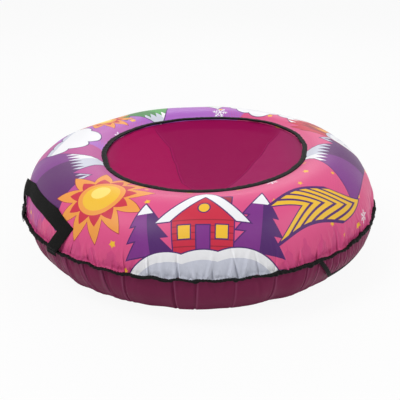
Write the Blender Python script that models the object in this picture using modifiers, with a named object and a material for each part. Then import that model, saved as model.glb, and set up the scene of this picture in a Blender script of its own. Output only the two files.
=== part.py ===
"""Snow tube: a sewn cover round an inflated inner tube, with two carrying handles and an access flap.

Metres, +Z up. The origin is the middle of the flat underside, on the ground. The rider faces -Y,
and the access flap is at the right-hand front.
"""

import math

import bmesh
import bpy
from mathutils import Matrix, Vector

# Whole tube
overall_diameter = 0.900
crest_height = 0.264
seam_height_share = 0.478
crest_squareness = 2.2
base_flat_inset = 0.136
base_squareness = 2.09

# Cloth and sewing
cover_wall = 0.0008
sewn_gap = 0.0003
tape_wall = 0.0007
tape_fold_gap = 0.0010
seam_allowance = 0.0088
tape_shell_gap = 0.0012

# Seat
seat_seam_inset = 0.187
seat_seam_sink = 0.0177
seat_to_crest = 0.039
seat_lap = 0.014
seat_depth = 0.032
seat_tape_width = 0.012
seat_tape_height = 0.0036
seat_tape_shoulder = 0.0020

# The seat lies off the middle of the tube and higher at +X, and the tube's top with it
seat_shift = 0.0133
seat_rise = 0.0092
lean_reach = 0.157

# Gathers of the bottom cover
pleat_depth = 0.005
pleat_least_share = 0.45
pleat_beat = 2.4

# Webbing handles
handle_angle = math.radians(210.4)
handle_spread = 0.208
handle_rise_share = 0.588
webbing_width = 0.035
webbing_thickness = 0.0016
webbing_stand_off = 0.0008
webbing_touch_share = 0.363
webbing_tape_gap = 0.0005
handle_hinge_rise = 0.012
webbing_tail = 0.008
webbing_step = 0.012
webbing_clearance = 0.002
handle_path_shares = [
    (0.50, 0.00),
    (0.65, 0.68),
    (0.39, 0.88),
    (0.17, 0.98),
    (-0.35, 1.00),
    (-0.62, 0.79),
    (-0.50, 0.00),
]
bartack_width = 0.028
bartack_height = 0.0032
bartack_thickness = 0.0009

# Access flap and the slot behind it
flap_angle = math.radians(324)
flap_top_width = 0.298
flap_taper = 0.055
flap_drop = 0.064
flap_wall = 0.0008
flap_top_gap = 0.0016
flap_binding_width = 0.010
flap_step = 0.012
fastener_thickness = 0.0016
fastener_width = 0.016
fastener_inset = 0.014
fastener_rise = 0.0305
flap_settle = 0.033
slot_inset = 0.029
slot_height = 0.014
slot_drop = 0.012
slot_cut_depth = 0.050

# Inner tube
inner_tube_crest_shift = 0.010
inner_tube_side_gap = 0.0115
inner_tube_inner_reach = 0.140
inner_tube_foot_shift = 0.002
inner_tube_crest_gap = 0.0052
inner_tube_outer_squareness = 2.1
inner_tube_inner_squareness = 1.4
inner_tube_wall = 0.0025

# Valve, measured along its own axis from the inner tube's wall
valve_running_gap = 0.0003
valve_seat_gap = 0.0003
valve_base_radius = 0.012
valve_base_thickness = 0.003
valve_base_neck_radius = 0.0075
valve_base_neck_height = 0.007
valve_stem_radius = 0.0040
valve_stem_bore = 0.0026
valve_stem_inside = 0.008
valve_stem_outside = 0.030
valve_core_length = 0.018
valve_core_sink = 0.002
valve_pin_radius = 0.0009
valve_pin_sink = 0.0002
valve_pin_travel = 0.001
valve_cap_wall = 0.0013
valve_cap_reach = 0.010
valve_seal_thickness = 0.0009

# How finely the rings are turned
top_columns = 68
bottom_columns = 80
seam_tape_columns = 72
seat_columns = 56
seat_tape_columns = 64
inner_tube_columns = 40
valve_columns = 14
swell_steps = 5
seat_steps = 4
tube_quarter_steps = 3
line_steps = 60
flap_columns = 22
flap_rows = 8
merge_distance = 0.00001
sharp_angle = math.radians(35)

overall_radius = overall_diameter / 2
flange_radius = overall_radius - tape_wall - tape_fold_gap
shell_radius = flange_radius - seam_allowance
base_flat_radius = overall_radius - base_flat_inset
seat_seam_radius = overall_radius - seat_seam_inset
seat_seam_height = crest_height - seat_seam_sink
crest_radius = seat_seam_radius + seat_to_crest
seam_height = crest_height * seam_height_share
seam_half_gap = sewn_gap / 2
top_flange_height = seam_height + seam_half_gap + cover_wall
bottom_flange_height = seam_height - seam_half_gap - cover_wall
tape_inner_half = seam_half_gap + cover_wall + sewn_gap
tape_half_height = tape_inner_half + tape_wall
handle_rise = (crest_height - seam_height) * handle_rise_share
webbing_touch = (crest_height - seam_height) * webbing_touch_share
flap_bottom_width = flap_top_width - flap_taper * 2
slot_width = flap_top_width - slot_inset * 2
fastener_length = flap_bottom_width - fastener_inset * 2
fastener_drop = flap_drop - fastener_rise
inner_tube_crest_radius = crest_radius + inner_tube_crest_shift
inner_tube_outmost_radius = shell_radius - inner_tube_side_gap
inner_tube_foot_radius = base_flat_radius - inner_tube_foot_shift


def clear_scene():
    for thing in list(bpy.data.objects):
        bpy.data.objects.remove(thing, do_unlink=True)


def new_collection(name):
    collection = bpy.data.collections.new(name)
    bpy.context.scene.collection.children.link(collection)
    return collection


def finish_of(name, colour, roughness, metallic=0.0):
    material = bpy.data.materials.new(name)
    material.use_nodes = True
    shader = material.node_tree.nodes["Principled BSDF"]
    shader.inputs["Base Color"].default_value = (*colour, 1.0)
    shader.inputs["Roughness"].default_value = roughness
    shader.inputs["Metallic"].default_value = metallic
    return material


def add_object(name, mesh, collection, material=None):
    thing = bpy.data.objects.new(name, mesh)
    collection.objects.link(thing)
    if material:
        mesh.materials.append(material)
    return thing


def set_parent(child, parent):
    child.parent = parent
    child.matrix_parent_inverse = parent.matrix_world.inverted()


# Outlines in the half plane of radius and height


def swell(crest, edge, squareness, steps):
    """Points from a crest that lies level to an edge that stands upright, on a superellipse."""
    points = []
    for step in range(steps + 1):
        angle = math.pi / 2 * step / steps
        outward = math.sin(angle) ** (2 / squareness)
        upward = max(0.0, math.cos(angle)) ** (2 / squareness)
        radius = crest[0] + (edge[0] - crest[0]) * outward
        height = edge[1] + (crest[1] - edge[1]) * upward
        points.append((radius, height))
    return points


def offset_line(points, distance):
    """The same line moved by a distance to its right-hand side, with mitred corners."""
    moved = []
    for place, point in enumerate(points):
        here = Vector(point)
        before = Vector(points[max(place - 1, 0)])
        after = Vector(points[min(place + 1, len(points) - 1)])
        arriving = (here - before) if place else (after - here)
        leaving = (after - here) if place < len(points) - 1 else arriving
        arriving.normalize()
        leaving.normalize()
        side = Vector((arriving.y + leaving.y, -arriving.x - leaving.x)).normalized()
        reach = side.dot(Vector((arriving.y, -arriving.x)))
        moved.append(tuple(here + side * (distance / reach)))
    return moved


def shell_section(outer):
    """A wall of cloth: the outer line, and back along the inner one."""
    return outer + offset_line(outer, cover_wall)[::-1]


def lengths_along(points):
    reached = [0.0]
    for start, end in zip(points, points[1:]):
        reached.append(reached[-1] + math.dist(start, end))
    return reached


def along(points, distance):
    """The point at a distance along a line, and the unit vector to the line's left there."""
    reached = lengths_along(points)
    place = 0
    while place < len(points) - 2 and reached[place + 1] < distance:
        place += 1
    start = Vector(points[place])
    direction = (Vector(points[place + 1]) - start).normalized()
    spot = start + direction * (distance - reached[place])
    return spot, Vector((-direction.y, direction.x))


def divided(path, step):
    """A path with extra points, so that no stretch is longer than a step."""
    points = [path[0]]
    for start, end in zip(path, path[1:]):
        pieces = max(1, math.ceil(math.dist(start, end) / step))
        for piece in range(1, pieces + 1):
            points.append(tuple(Vector(start).lerp(Vector(end), piece / pieces)))
    return points


# Solids


def turned(name, section, columns, collection, material, closed=True):
    """A section in radius and height, turned about Z."""
    mesh = bpy.data.meshes.new(name)
    edges = [(i, i + 1) for i in range(len(section) - 1)]
    if closed:
        edges.append((len(section) - 1, 0))
    mesh.from_pydata([(radius, 0, height) for radius, height in section], edges, [])
    thing = add_object(name, mesh, collection, material)
    screw = thing.modifiers.new("Turn", "SCREW")
    screw.steps = columns
    screw.render_steps = columns
    screw.use_merge_vertices = True
    screw.merge_threshold = merge_distance
    return thing


def made_mesh(thing):
    """The evaluated mesh in place of the object's own mesh and modifiers."""
    evaluated = thing.evaluated_get(bpy.context.evaluated_depsgraph_get())
    mesh = bpy.data.meshes.new_from_object(evaluated)
    thing.modifiers.clear()
    thing.data = mesh
    return mesh


def loft(name, rings, collection, material):
    """A closed solid through rings of as many points each, with a cap at either end."""
    shape = bmesh.new()
    loops = [[shape.verts.new(point) for point in ring] for ring in rings]
    for low, high in zip(loops, loops[1:]):
        for i in range(len(low)):
            j = (i + 1) % len(low)
            shape.faces.new((low[i], low[j], high[j], high[i]))
    shape.faces.new(loops[0][::-1])
    shape.faces.new(loops[-1])
    bmesh.ops.recalc_face_normals(shape, faces=shape.faces)
    mesh = bpy.data.meshes.new(name)
    shape.to_mesh(mesh)
    shape.free()
    mesh.shade_smooth()
    mesh.set_sharp_from_angle(angle=sharp_angle)
    return add_object(name, mesh, collection, material)


def crossing(low, high, level):
    """Where the line from low to high reaches a level."""
    share = (level - low[1]) / (high[1] - low[1])
    return (low[0] + (high[0] - low[0]) * share, level)


def cut_level(path, distance):
    """A path moved sideways, with both its ends cut at the level where the path starts."""
    moved = offset_line(path, distance)
    moved[0] = crossing(moved[0], moved[1], path[0][1])
    moved[-1] = crossing(moved[-1], moved[-2], path[-1][1])
    return moved


def strip(name, path, section, place, collection, material, cut=offset_line):
    """A band along a path on cloth: its section is in width across the path and depth."""
    sides = {across: cut(path, across) for across, _ in section}
    rings = []
    for station in range(len(path)):
        rings.append([place(*sides[across][station], depth) for across, depth in section])
    return loft(name, rings, collection, material)


def around(radius, angle, height):
    return Vector((radius * math.cos(angle), radius * math.sin(angle), height))


def move_origin(thing, pivot):
    thing.data.transform(Matrix.Translation(-pivot))
    thing.location = pivot


# Lines that pieces sewn on the cover follow


def top_line(steps):
    return swell((crest_radius, crest_height), (shell_radius, top_flange_height), crest_squareness, steps)


def bottom_line(steps):
    return swell((base_flat_radius, 0), (shell_radius, bottom_flange_height), base_squareness, steps)


def webbing_line():
    """Inner face of the webbing, from below the seam tape up over it and on to the top cover."""
    hem_radius = overall_radius + webbing_tape_gap
    hem_top = seam_height + tape_half_height
    rest = offset_line(top_line(line_steps)[::-1], webbing_stand_off)
    touch = [p for p, reached in zip(rest, lengths_along(rest)) if reached >= webbing_touch]
    return [(hem_radius, hem_top - tape_half_height * 2 - webbing_tail), (hem_radius, hem_top)] + touch


def webbing_placer(middle):
    """Places width along the seam, rise from the seam and depth of webbing, in space."""
    line = webbing_line()
    hem = math.dist(line[0], line[1])

    def place(width, rise, depth):
        spot, left = along(line, hem + rise)
        spot = spot - left * depth
        return around(spot.x, middle + width / overall_radius, spot.y)

    return place


def flap_stand_off(drop):
    """How far the flap's inner face lies off the cover: flat under the hook and loop strips."""
    full = fastener_thickness * 2 + sewn_gap * 3
    share = min(1.0, max(0.0, drop / flap_settle))
    return flap_top_gap + (full - flap_top_gap) * math.sin(share * math.pi / 2)


def cover_placer(stand_off):
    """Places width along the seam, drop below it and depth, on the bottom cover."""
    line = bottom_line(line_steps)[::-1]

    def place(width, drop, depth):
        spot, left = along(line, drop)
        spot = spot + left * (depth + stand_off(drop))
        return around(spot.x, flap_angle + width / overall_radius, spot.y)

    return place


def no_stand_off(drop):
    return sewn_gap


def eased(value, start, end):
    share = min(1.0, max(0.0, (value - start) / (end - start)))
    return share * share * (3 - 2 * share)


def lean_over(mesh):
    """Shifts and tips the seat with the top round it, less and less towards the side and the seam."""
    for vertex in mesh.vertices:
        place = vertex.co
        radius = math.hypot(place.x, place.y)
        share = 1 - eased(radius, seat_seam_radius, seat_seam_radius + lean_reach)
        share *= eased(place.z, seam_height, seat_seam_height - seat_depth)
        place.z += place.x * share * seat_rise / seat_seam_radius
        place.x += seat_shift * share


# Cover


def build_top_cover(collection, material):
    lap_inner = seat_seam_radius - seat_lap / 2
    lap_outer = seat_seam_radius + seat_lap / 2
    outer = [(lap_inner, seat_seam_height), (lap_outer, seat_seam_height)]
    outer += top_line(swell_steps)
    outer.append((flange_radius, top_flange_height))
    thing = turned("top_cover", shell_section(outer), top_columns, collection, material)
    lean_over(made_mesh(thing))


def build_seat_panel(collection, material):
    rim_radius = seat_seam_radius - seat_lap / 2 - sewn_gap
    rim_height = seat_seam_height - cover_wall - sewn_gap
    outer = []
    for step in range(seat_steps + 1):
        share = step / seat_steps
        outer.append((rim_radius * share, rim_height - seat_depth * (1 - share**2)))
    outer.append((seat_seam_radius + seat_lap / 2, rim_height))
    section = shell_section(outer)
    section[-1] = (0, outer[0][1] - cover_wall)
    thing = turned("seat_panel", section, seat_columns, collection, material, closed=False)
    lean_over(made_mesh(thing))


def build_seat_binding(collection, material):
    """A folded tape lies on the lapped seam, rounded at its top."""
    foot = seat_seam_height + sewn_gap
    half = seat_tape_width / 2
    crown = half - seat_tape_shoulder
    shoulder = seat_tape_height - seat_tape_shoulder
    section = [
        (seat_seam_radius - half, foot),
        (seat_seam_radius - half, foot + shoulder),
        (seat_seam_radius - crown, foot + seat_tape_height),
        (seat_seam_radius + crown, foot + seat_tape_height),
        (seat_seam_radius + half, foot + shoulder),
        (seat_seam_radius + half, foot),
    ]
    thing = turned("seat_binding", section, seat_tape_columns, collection, material)
    lean_over(made_mesh(thing))


def pleat_share(angle):
    """How deep the gathers are at an angle: each second column is a valley, none under the flap."""
    turn = math.tau / bottom_columns
    column = round(angle / turn)
    away = abs((angle - flap_angle + math.pi) % math.tau - math.pi)
    if column % 2 == 0 or away * overall_radius < flap_top_width / 2 + turn * overall_radius:
        return 0.0
    return pleat_least_share + (1 - pleat_least_share) * abs(math.sin(column * pleat_beat))


def build_bottom_cover(collection, cutters, material):
    outer = [(flange_radius, bottom_flange_height)] + bottom_line(swell_steps)[::-1] + [(0, 0)]
    section = offset_line(outer, cover_wall)[::-1] + outer
    section[0] = (0, cover_wall)
    thing = turned("bottom_cover", section, bottom_columns, collection, material, closed=False)
    mesh = made_mesh(thing)
    for vertex in mesh.vertices:
        place = vertex.co
        radius = math.hypot(place.x, place.y)
        fade = math.sin(math.pi * min(1.0, place.z / bottom_flange_height))
        depth = pleat_depth * pleat_share(math.atan2(place.y, place.x) % math.tau) * fade
        inward = Vector((crest_radius - radius, seam_height - place.z)).normalized() * depth
        if radius > base_flat_radius - cover_wall:
            vertex.co = around(radius + inward.x, math.atan2(place.y, place.x), place.z + inward.y)
    cutter = build_slot_cutter(cutters)
    cut = thing.modifiers.new("Access slot", "BOOLEAN")
    cut.operation = "DIFFERENCE"
    cut.object = cutter


def build_slot_cutter(cutters):
    mesh = bpy.data.meshes.new("slot_cutter")
    block = bmesh.new()
    bmesh.ops.create_cube(block, size=1)
    bmesh.ops.scale(block, vec=(slot_cut_depth, slot_width, slot_height), verts=block.verts)
    block.to_mesh(mesh)
    block.free()
    cutter = add_object("slot_cutter", mesh, cutters)
    height = bottom_flange_height - slot_drop - slot_height / 2
    cutter.location = around(shell_radius - slot_cut_depth / 4, flap_angle, height)
    cutter.rotation_euler.z = flap_angle
    cutter.hide_render = True
    cutter.display_type = "WIRE"
    return cutter


def build_seam_binding(collection, material):
    """A tape folded round the edges of both covers."""
    leg_radius = shell_radius + tape_shell_gap
    web_radius = overall_radius - tape_wall
    section = [
        (leg_radius, seam_height + tape_half_height),
        (overall_radius, seam_height + tape_half_height),
        (overall_radius, seam_height - tape_half_height),
        (leg_radius, seam_height - tape_half_height),
        (leg_radius, seam_height - tape_inner_half),
        (web_radius, seam_height - tape_inner_half),
        (web_radius, seam_height + tape_inner_half),
        (leg_radius, seam_height + tape_inner_half),
    ]
    turned("seam_binding", section, seam_tape_columns, collection, material)


# Handles


def webbing_end(path, rise):
    """The webbing's two edges and middle where the first stretch of a path crosses a rise."""
    places = []
    for across in (-webbing_width / 2, 0, webbing_width / 2):
        edge = offset_line(path[:3], across)
        places.append(crossing(edge[0], edge[1], rise))
    return places


def webbing_ring(place, spots):
    inner = [place(*spot, 0) for spot in spots]
    outer = [place(*spot, webbing_thickness) for spot in spots]
    return inner + outer[::-1]


def build_handle_end(name, path, place, collection, material):
    """The sewn end of the webbing, from the fold line down over the seam tape."""
    tail = webbing_tail + tape_half_height * 2
    fold = webbing_end(path, handle_hinge_rise - sewn_gap / 2)
    hem = webbing_end(path, 0)
    foot = [(width, -tail) for width, _ in hem]
    return loft(name, [webbing_ring(place, spots) for spots in (fold, hem, foot)], collection, material)


def build_bartack(name, path, place, collection, material):
    """A dense row of stitches across the sewn end, level with the seam tape."""
    hem = webbing_end(path, 0)
    middle = hem[1][0]
    half = bartack_width / 2
    low = -tape_half_height - bartack_height / 2
    high = low + bartack_height
    near = webbing_thickness + sewn_gap
    far = near + bartack_thickness
    rings = []
    for width in (middle - half, middle, middle + half):
        corners = [(low, near), (high, near), (high, far), (low, far)]
        rings.append([place(width, rise, depth) for rise, depth in corners])
    return loft(name, rings, collection, material)


def build_handle(side, middle, collection, webbing, thread):
    place = webbing_placer(middle)
    path = [(share[0] * handle_spread, share[1] * handle_rise) for share in handle_path_shares]
    ends = {"front": path, "rear": path[::-1]}
    lift = handle_hinge_rise + sewn_gap / 2
    stations = divided(path, webbing_step)
    edges = [offset_line(stations, across) for across in (-webbing_width / 2, 0, webbing_width / 2)]
    rings = []
    for spots in zip(*edges):
        if min(rise for _, rise in spots) > lift + webbing_clearance:
            rings.append(webbing_ring(place, spots))
    front = webbing_end(ends["front"], lift)
    rear = webbing_end(ends["rear"], lift)[::-1]
    rings = [webbing_ring(place, front)] + rings + [webbing_ring(place, rear)]
    loop = loft(side + "_handle_loop", rings, collection, webbing)
    for end, line in ends.items():
        build_handle_end(f"{side}_handle_{end}_end", line, place, collection, webbing)
        build_bartack(f"{side}_handle_{end}_bartack", line, place, collection, thread)
    corners = [min(front, key=lambda spot: abs(spot[0])), min(rear, key=lambda spot: abs(spot[0]))]
    pivots = [place(corner[0], handle_hinge_rise, webbing_thickness) for corner in corners]
    move_origin(loop, (pivots[0] + pivots[1]) / 2)


# Access flap


def flap_outline():
    """Outer edge of the flap's binding: down one side, along the bottom and up the other."""
    top = flap_top_width / 2
    low = flap_bottom_width / 2
    start = sewn_gap + tape_half_height - (seam_height - bottom_flange_height)
    return [(-top, start), (-low, flap_drop), (low, flap_drop), (top, start)]


def build_flap(collection, cloth, tape, hooks, loops):
    place = cover_placer(flap_stand_off)
    outline = flap_outline()
    edge = cut_level(outline, tape_wall + sewn_gap)
    panel_top = edge[0][1]
    panel_bottom = edge[1][1]
    rings = []
    for column in range(flap_columns + 1):
        across = 2 * column / flap_columns - 1
        inner = []
        for row in range(flap_rows + 1):
            share = row / flap_rows
            half = -edge[0][0] + (edge[0][0] - edge[1][0]) * share
            drop = panel_top + (panel_bottom - panel_top) * share
            inner.append((half * across, drop))
        near = [place(*spot, 0) for spot in inner]
        far = [place(*spot, flap_wall) for spot in inner]
        rings.append(near + far[::-1])
    flap = loft("access_flap", rings, collection, cloth)

    width = flap_binding_width
    low = -sewn_gap - tape_wall
    high = flap_wall + sewn_gap + tape_wall
    section = [
        (width, high),
        (0, high),
        (0, low),
        (width, low),
        (width, low + tape_wall),
        (tape_wall, low + tape_wall),
        (tape_wall, high - tape_wall),
        (width, high - tape_wall),
    ]
    path = divided(outline, flap_step)
    binding = strip("flap_binding", path, section, place, collection, tape, cut_level)

    half = fastener_length / 2
    row = fastener_drop + fastener_width / 2
    path = divided([(-half, row), (half, row)], flap_step)
    side = fastener_width / 2
    top = -sewn_gap
    face = top - fastener_thickness
    hook_section = [(-side, face), (side, face), (side, top), (-side, top)]
    hook = strip("flap_hook_strip", path, hook_section, place, collection, hooks)
    loop_section = [(-side, 0), (side, 0), (side, fastener_thickness), (-side, fastener_thickness)]
    strip("slot_loop_strip", path, loop_section, cover_placer(no_stand_off), collection, loops)

    pivot = place(0, panel_top, flap_wall)
    for thing in (flap, binding, hook):
        move_origin(thing, pivot)


# Inner tube and valve


def inner_tube_section():
    low = cover_wall + sewn_gap
    high = crest_height - cover_wall - inner_tube_crest_gap
    middle = (low + high) / 2
    outmost = (inner_tube_outmost_radius, middle)
    inmost = (inner_tube_crest_radius - inner_tube_inner_reach, middle)
    top = (inner_tube_crest_radius, high)
    foot = (inner_tube_foot_radius, low)
    outside = inner_tube_outer_squareness
    inside = inner_tube_inner_squareness
    points = swell(top, outmost, outside, tube_quarter_steps)[:-1]
    points += swell(foot, outmost, outside, tube_quarter_steps)[:0:-1]
    points += swell(foot, inmost, inside, tube_quarter_steps)[:-1]
    points += swell(top, inmost, inside, tube_quarter_steps)[:0:-1]
    return points


def build_inner_tube(collection, cutters, axis, material):
    tube = turned("inner_tube", inner_tube_section(), inner_tube_columns, collection, material)
    facet_turn = flap_angle + math.pi / inner_tube_columns
    mesh = made_mesh(tube)
    mesh.transform(Matrix.Rotation(facet_turn, 4, "Z"))
    lean_over(mesh)
    wall = tube.modifiers.new("Rubber", "SOLIDIFY")
    wall.thickness = inner_tube_wall
    wall.offset = -1
    hole_radius = valve_stem_radius + valve_running_gap
    section = [(0, inner_tube_wall), (hole_radius, inner_tube_wall), (hole_radius, -inner_tube_wall * 3)]
    section.append((0, -inner_tube_wall * 3))
    drill = turned("valve_hole_cutter", section, valve_columns, cutters, None, closed=False)
    drill.parent = axis
    drill.hide_render = True
    drill.display_type = "WIRE"
    hole = tube.modifiers.new("Valve hole", "BOOLEAN")
    hole.operation = "DIFFERENCE"
    hole.object = drill


def valve_axis(collection):
    """An empty on the inner tube below its inmost line, with +Z along the valve."""
    section = inner_tube_section()
    inmost = section.index(min(section))
    flatter = math.cos(math.pi / inner_tube_columns)
    low = Vector((section[inmost - 1][0] * flatter, section[inmost - 1][1]))
    high = Vector((section[inmost][0] * flatter, section[inmost][1]))
    middle = (low + high) / 2
    rise = high - low
    axis = bpy.data.objects.new("valve_axis", None)
    collection.objects.link(axis)
    axis.location = around(middle.x, flap_angle, middle.y)
    towards = around(-rise.y, flap_angle, rise.x)
    axis.rotation_mode = "QUATERNION"
    axis.rotation_quaternion = towards.to_track_quat("Z", "Y")
    bpy.context.view_layer.update()
    return axis


def build_valve(collection, axis, rubber, brass, steel, plastic, seal):
    hole = valve_stem_radius + valve_running_gap
    base_top = valve_seat_gap + valve_base_thickness
    base = [
        (hole, valve_seat_gap + valve_base_neck_height),
        (valve_base_neck_radius, valve_seat_gap + valve_base_neck_height),
        (valve_base_neck_radius, base_top),
        (valve_base_radius, base_top),
        (valve_base_radius, valve_seat_gap),
        (hole, valve_seat_gap),
    ]
    stem = [
        (valve_stem_bore, valve_stem_outside),
        (valve_stem_radius, valve_stem_outside),
        (valve_stem_radius, -valve_stem_inside),
        (valve_stem_bore, -valve_stem_inside),
    ]
    core_radius = valve_stem_bore - valve_running_gap
    core_bore = valve_pin_radius + valve_running_gap
    core_top = valve_stem_outside - valve_core_sink
    core = [
        (core_bore, core_top),
        (core_radius, core_top),
        (core_radius, core_top - valve_core_length),
        (core_bore, core_top - valve_core_length),
    ]
    pin_top = valve_stem_outside - valve_pin_sink
    pin_foot = core_top - valve_core_length - valve_pin_travel
    pin = [(0, pin_top), (valve_pin_radius, pin_top), (valve_pin_radius, pin_foot), (0, pin_foot)]
    cap_bore = valve_stem_radius + valve_running_gap
    cap_radius = cap_bore + valve_cap_wall
    seal_foot = valve_stem_outside + valve_running_gap
    seal_top = seal_foot + valve_seal_thickness
    cap_inside = seal_top + valve_running_gap
    cap_foot = valve_stem_outside - valve_cap_reach
    cap = [
        (0, cap_inside + valve_cap_wall),
        (cap_radius, cap_inside + valve_cap_wall),
        (cap_radius, cap_foot),
        (cap_bore, cap_foot),
        (cap_bore, cap_inside),
        (0, cap_inside),
    ]
    seal_radius = cap_bore - valve_running_gap
    disc = [(0, seal_top), (seal_radius, seal_top), (seal_radius, seal_foot), (0, seal_foot)]
    pieces = [
        ("valve_base", base, rubber, True),
        ("valve_stem", stem, brass, True),
        ("valve_core", core, brass, True),
        ("valve_pin", pin, steel, False),
        ("valve_cap", cap, plastic, False),
        ("valve_cap_seal", disc, seal, False),
    ]
    for name, section, material, closed in pieces:
        turned(name, section, valve_columns, collection, material, closed=closed).parent = axis


def build_snow_tube():
    clear_scene()
    parts = new_collection("snow_tube")
    cutters = new_collection("cutters")
    printed = finish_of("printed_cloth", (0.66, 0.10, 0.28), 0.45)
    seat_cloth = finish_of("seat_cloth", (0.31, 0.015, 0.10), 0.42)
    base_cloth = finish_of("base_cloth", (0.15, 0.02, 0.06), 0.30)
    tape = finish_of("black_tape", (0.012, 0.012, 0.012), 0.75)
    webbing = finish_of("black_webbing", (0.011, 0.011, 0.010), 0.80)
    thread = finish_of("black_thread", (0.009, 0.009, 0.009), 0.70)
    hooks = finish_of("hook_fastener", (0.010, 0.010, 0.010), 0.65)
    loops = finish_of("loop_fastener", (0.014, 0.014, 0.014), 0.95)
    rubber = finish_of("butyl_rubber", (0.02, 0.02, 0.02), 0.55)
    brass = finish_of("brass", (0.60, 0.42, 0.16), 0.30, 1.0)
    steel = finish_of("steel", (0.55, 0.55, 0.56), 0.30, 1.0)
    plastic = finish_of("black_plastic", (0.015, 0.015, 0.015), 0.50)
    seal = finish_of("seal_rubber", (0.03, 0.03, 0.03), 0.60)

    build_top_cover(parts, printed)
    build_seat_panel(parts, seat_cloth)
    build_seat_binding(parts, tape)
    build_bottom_cover(parts, cutters, base_cloth)
    build_seam_binding(parts, tape)
    build_handle("left", handle_angle, parts, webbing, thread)
    build_handle("right", handle_angle - math.pi, parts, webbing, thread)
    build_flap(parts, base_cloth, tape, hooks, loops)
    axis = valve_axis(parts)
    build_inner_tube(parts, cutters, axis, rubber)
    build_valve(parts, axis, rubber, brass, steel, plastic, seal)


build_snow_tube()
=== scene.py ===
"""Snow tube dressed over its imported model: printed top cover, sunken seat, glossy gathered base,
crinkled seam tape, webbing handles and the access flap."""

import functools
import math

import bmesh
import bpy
import numpy as np
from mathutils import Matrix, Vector


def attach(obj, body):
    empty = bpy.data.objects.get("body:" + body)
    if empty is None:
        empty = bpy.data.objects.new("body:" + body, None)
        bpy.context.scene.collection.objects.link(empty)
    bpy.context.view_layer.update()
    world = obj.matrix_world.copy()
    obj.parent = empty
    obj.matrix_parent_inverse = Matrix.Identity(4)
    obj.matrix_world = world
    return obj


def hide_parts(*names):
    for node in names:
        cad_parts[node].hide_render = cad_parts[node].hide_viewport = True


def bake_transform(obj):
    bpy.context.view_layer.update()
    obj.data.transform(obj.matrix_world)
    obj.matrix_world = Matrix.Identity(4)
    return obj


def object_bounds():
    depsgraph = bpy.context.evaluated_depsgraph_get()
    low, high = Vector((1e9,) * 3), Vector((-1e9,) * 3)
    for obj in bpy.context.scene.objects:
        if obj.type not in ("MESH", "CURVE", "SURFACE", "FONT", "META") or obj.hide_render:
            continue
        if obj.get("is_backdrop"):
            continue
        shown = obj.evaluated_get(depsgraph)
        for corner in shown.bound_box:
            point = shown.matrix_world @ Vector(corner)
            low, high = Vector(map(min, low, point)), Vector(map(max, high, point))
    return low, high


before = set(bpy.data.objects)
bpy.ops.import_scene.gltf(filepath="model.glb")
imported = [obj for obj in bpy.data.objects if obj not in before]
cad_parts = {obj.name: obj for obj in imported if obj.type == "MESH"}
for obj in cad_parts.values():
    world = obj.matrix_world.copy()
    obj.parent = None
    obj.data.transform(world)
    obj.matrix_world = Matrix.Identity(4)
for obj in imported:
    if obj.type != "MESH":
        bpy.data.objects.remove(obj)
cad_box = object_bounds()

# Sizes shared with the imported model, in metres
overall_radius = 0.450
crest_height = 0.264
seam_height = 0.1262
crest_radius = 0.302
crest_squareness = 2.2
base_flat_radius = 0.314
base_squareness = 2.09
shell_radius = 0.4395
cover_wall = 0.0008
sewn_gap = 0.0003
seat_seam_radius = 0.263
seat_seam_height = 0.2463
seat_depth = 0.032
seat_tape_width = 0.012
seat_tape_height = 0.0036
seam_flange = 0.0007
tape_half_height = 0.00195
handle_angle = math.radians(210.4)
handle_angles = (handle_angle, handle_angle - math.pi)
handle_spread = 0.208
handle_rise = 0.081
webbing_width = 0.035
webbing_thickness = 0.0016
webbing_stand_off = 0.0008
webbing_touch = 0.050
webbing_tape_gap = 0.0005
webbing_tail = 0.008
handle_hinge_rise = 0.012

# Corners of a handle's centre line, as shares of its spread and its rise
handle_path_shares = [
    (0.50, 0.00),
    (0.655, 0.66),
    (0.39, 0.85),
    (0.17, 0.92),
    (-0.35, 0.96),
    (-0.60, 0.81),
    (-0.50, 0.00),
]

# The flap, its fastener strips and the slot behind it
flap_angle = math.radians(324)
flap_top_width = 0.298
flap_bottom_width = 0.188
flap_drop = 0.064
flap_top_gap = 0.0016
flap_settle = 0.033
flap_binding_width = 0.010
fastener_thickness = 0.0016
fastener_width = 0.016
fastener_length = 0.160
fastener_drop = 0.0335
slot_width = 0.240
slot_top_height = 0.11325
slot_bottom_height = 0.09925

# The seat lies off the middle of the tube, and higher at +X
seat_shift = 0.0133
seat_rise = 0.0092
lean_reach = 0.157

# How the filled tube pulls the seat's seam: azimuth, distance outward and half width in degrees
seam_pulls = [(350, -0.011, 24), (190, -0.010, 24), (52, 0.008, 18), (128, 0.005, 20), (271, 0.0135, 31)]
pull_reach = 0.075
front_seam_sink = 0.0004
front_shoulder_sink = 0.0062

# Edges of the covers and their tapes
seam_allowance = 0.007
flange_edge_radius = 0.4465
cover_edge_rise = 0.00095

# Threads, the distance from stitch to stitch, and the share of it that a stitch takes up
thread_radius = 0.00045
bartack_thread_radius = 0.0005
seat_stitch_pitch = 0.0042
seam_stitch_pitch = 0.0050
flap_stitch_pitch = 0.0042
bartack_pitch = 0.0022
stitch_share = 0.72

# How far the webbing bulges at each handle's rear bend, and how much further out its outer edge
# lies where it folds over at the front bend
handle_slacks = (0.0080, 0.0020)
fold_over = (0.005, 0.004)

# The seat's two creases, each as a route in x and y
seat_folds = {
    "left": [(-0.142, 0.214), (-0.090, 0.101), (-0.080, 0.017), (-0.052, -0.150), (-0.008, -0.250)],
    "right": [(0.215, 0.150), (0.170, 0.083), (0.149, 0.012), (0.107, -0.080), (0.030, -0.240)],
}

# Gathers seen at the seam, in degrees from the middle of the front
front_pleats = [
    -70, -61.7, -56, -48.3, -44, -41.7, -35, -27.9, -21, -7.2, -0.8, 9.5,
    21.3, 31.7, 36, 40, 44.5, 49, 53, 57, 61, 66, 71,
]

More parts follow.
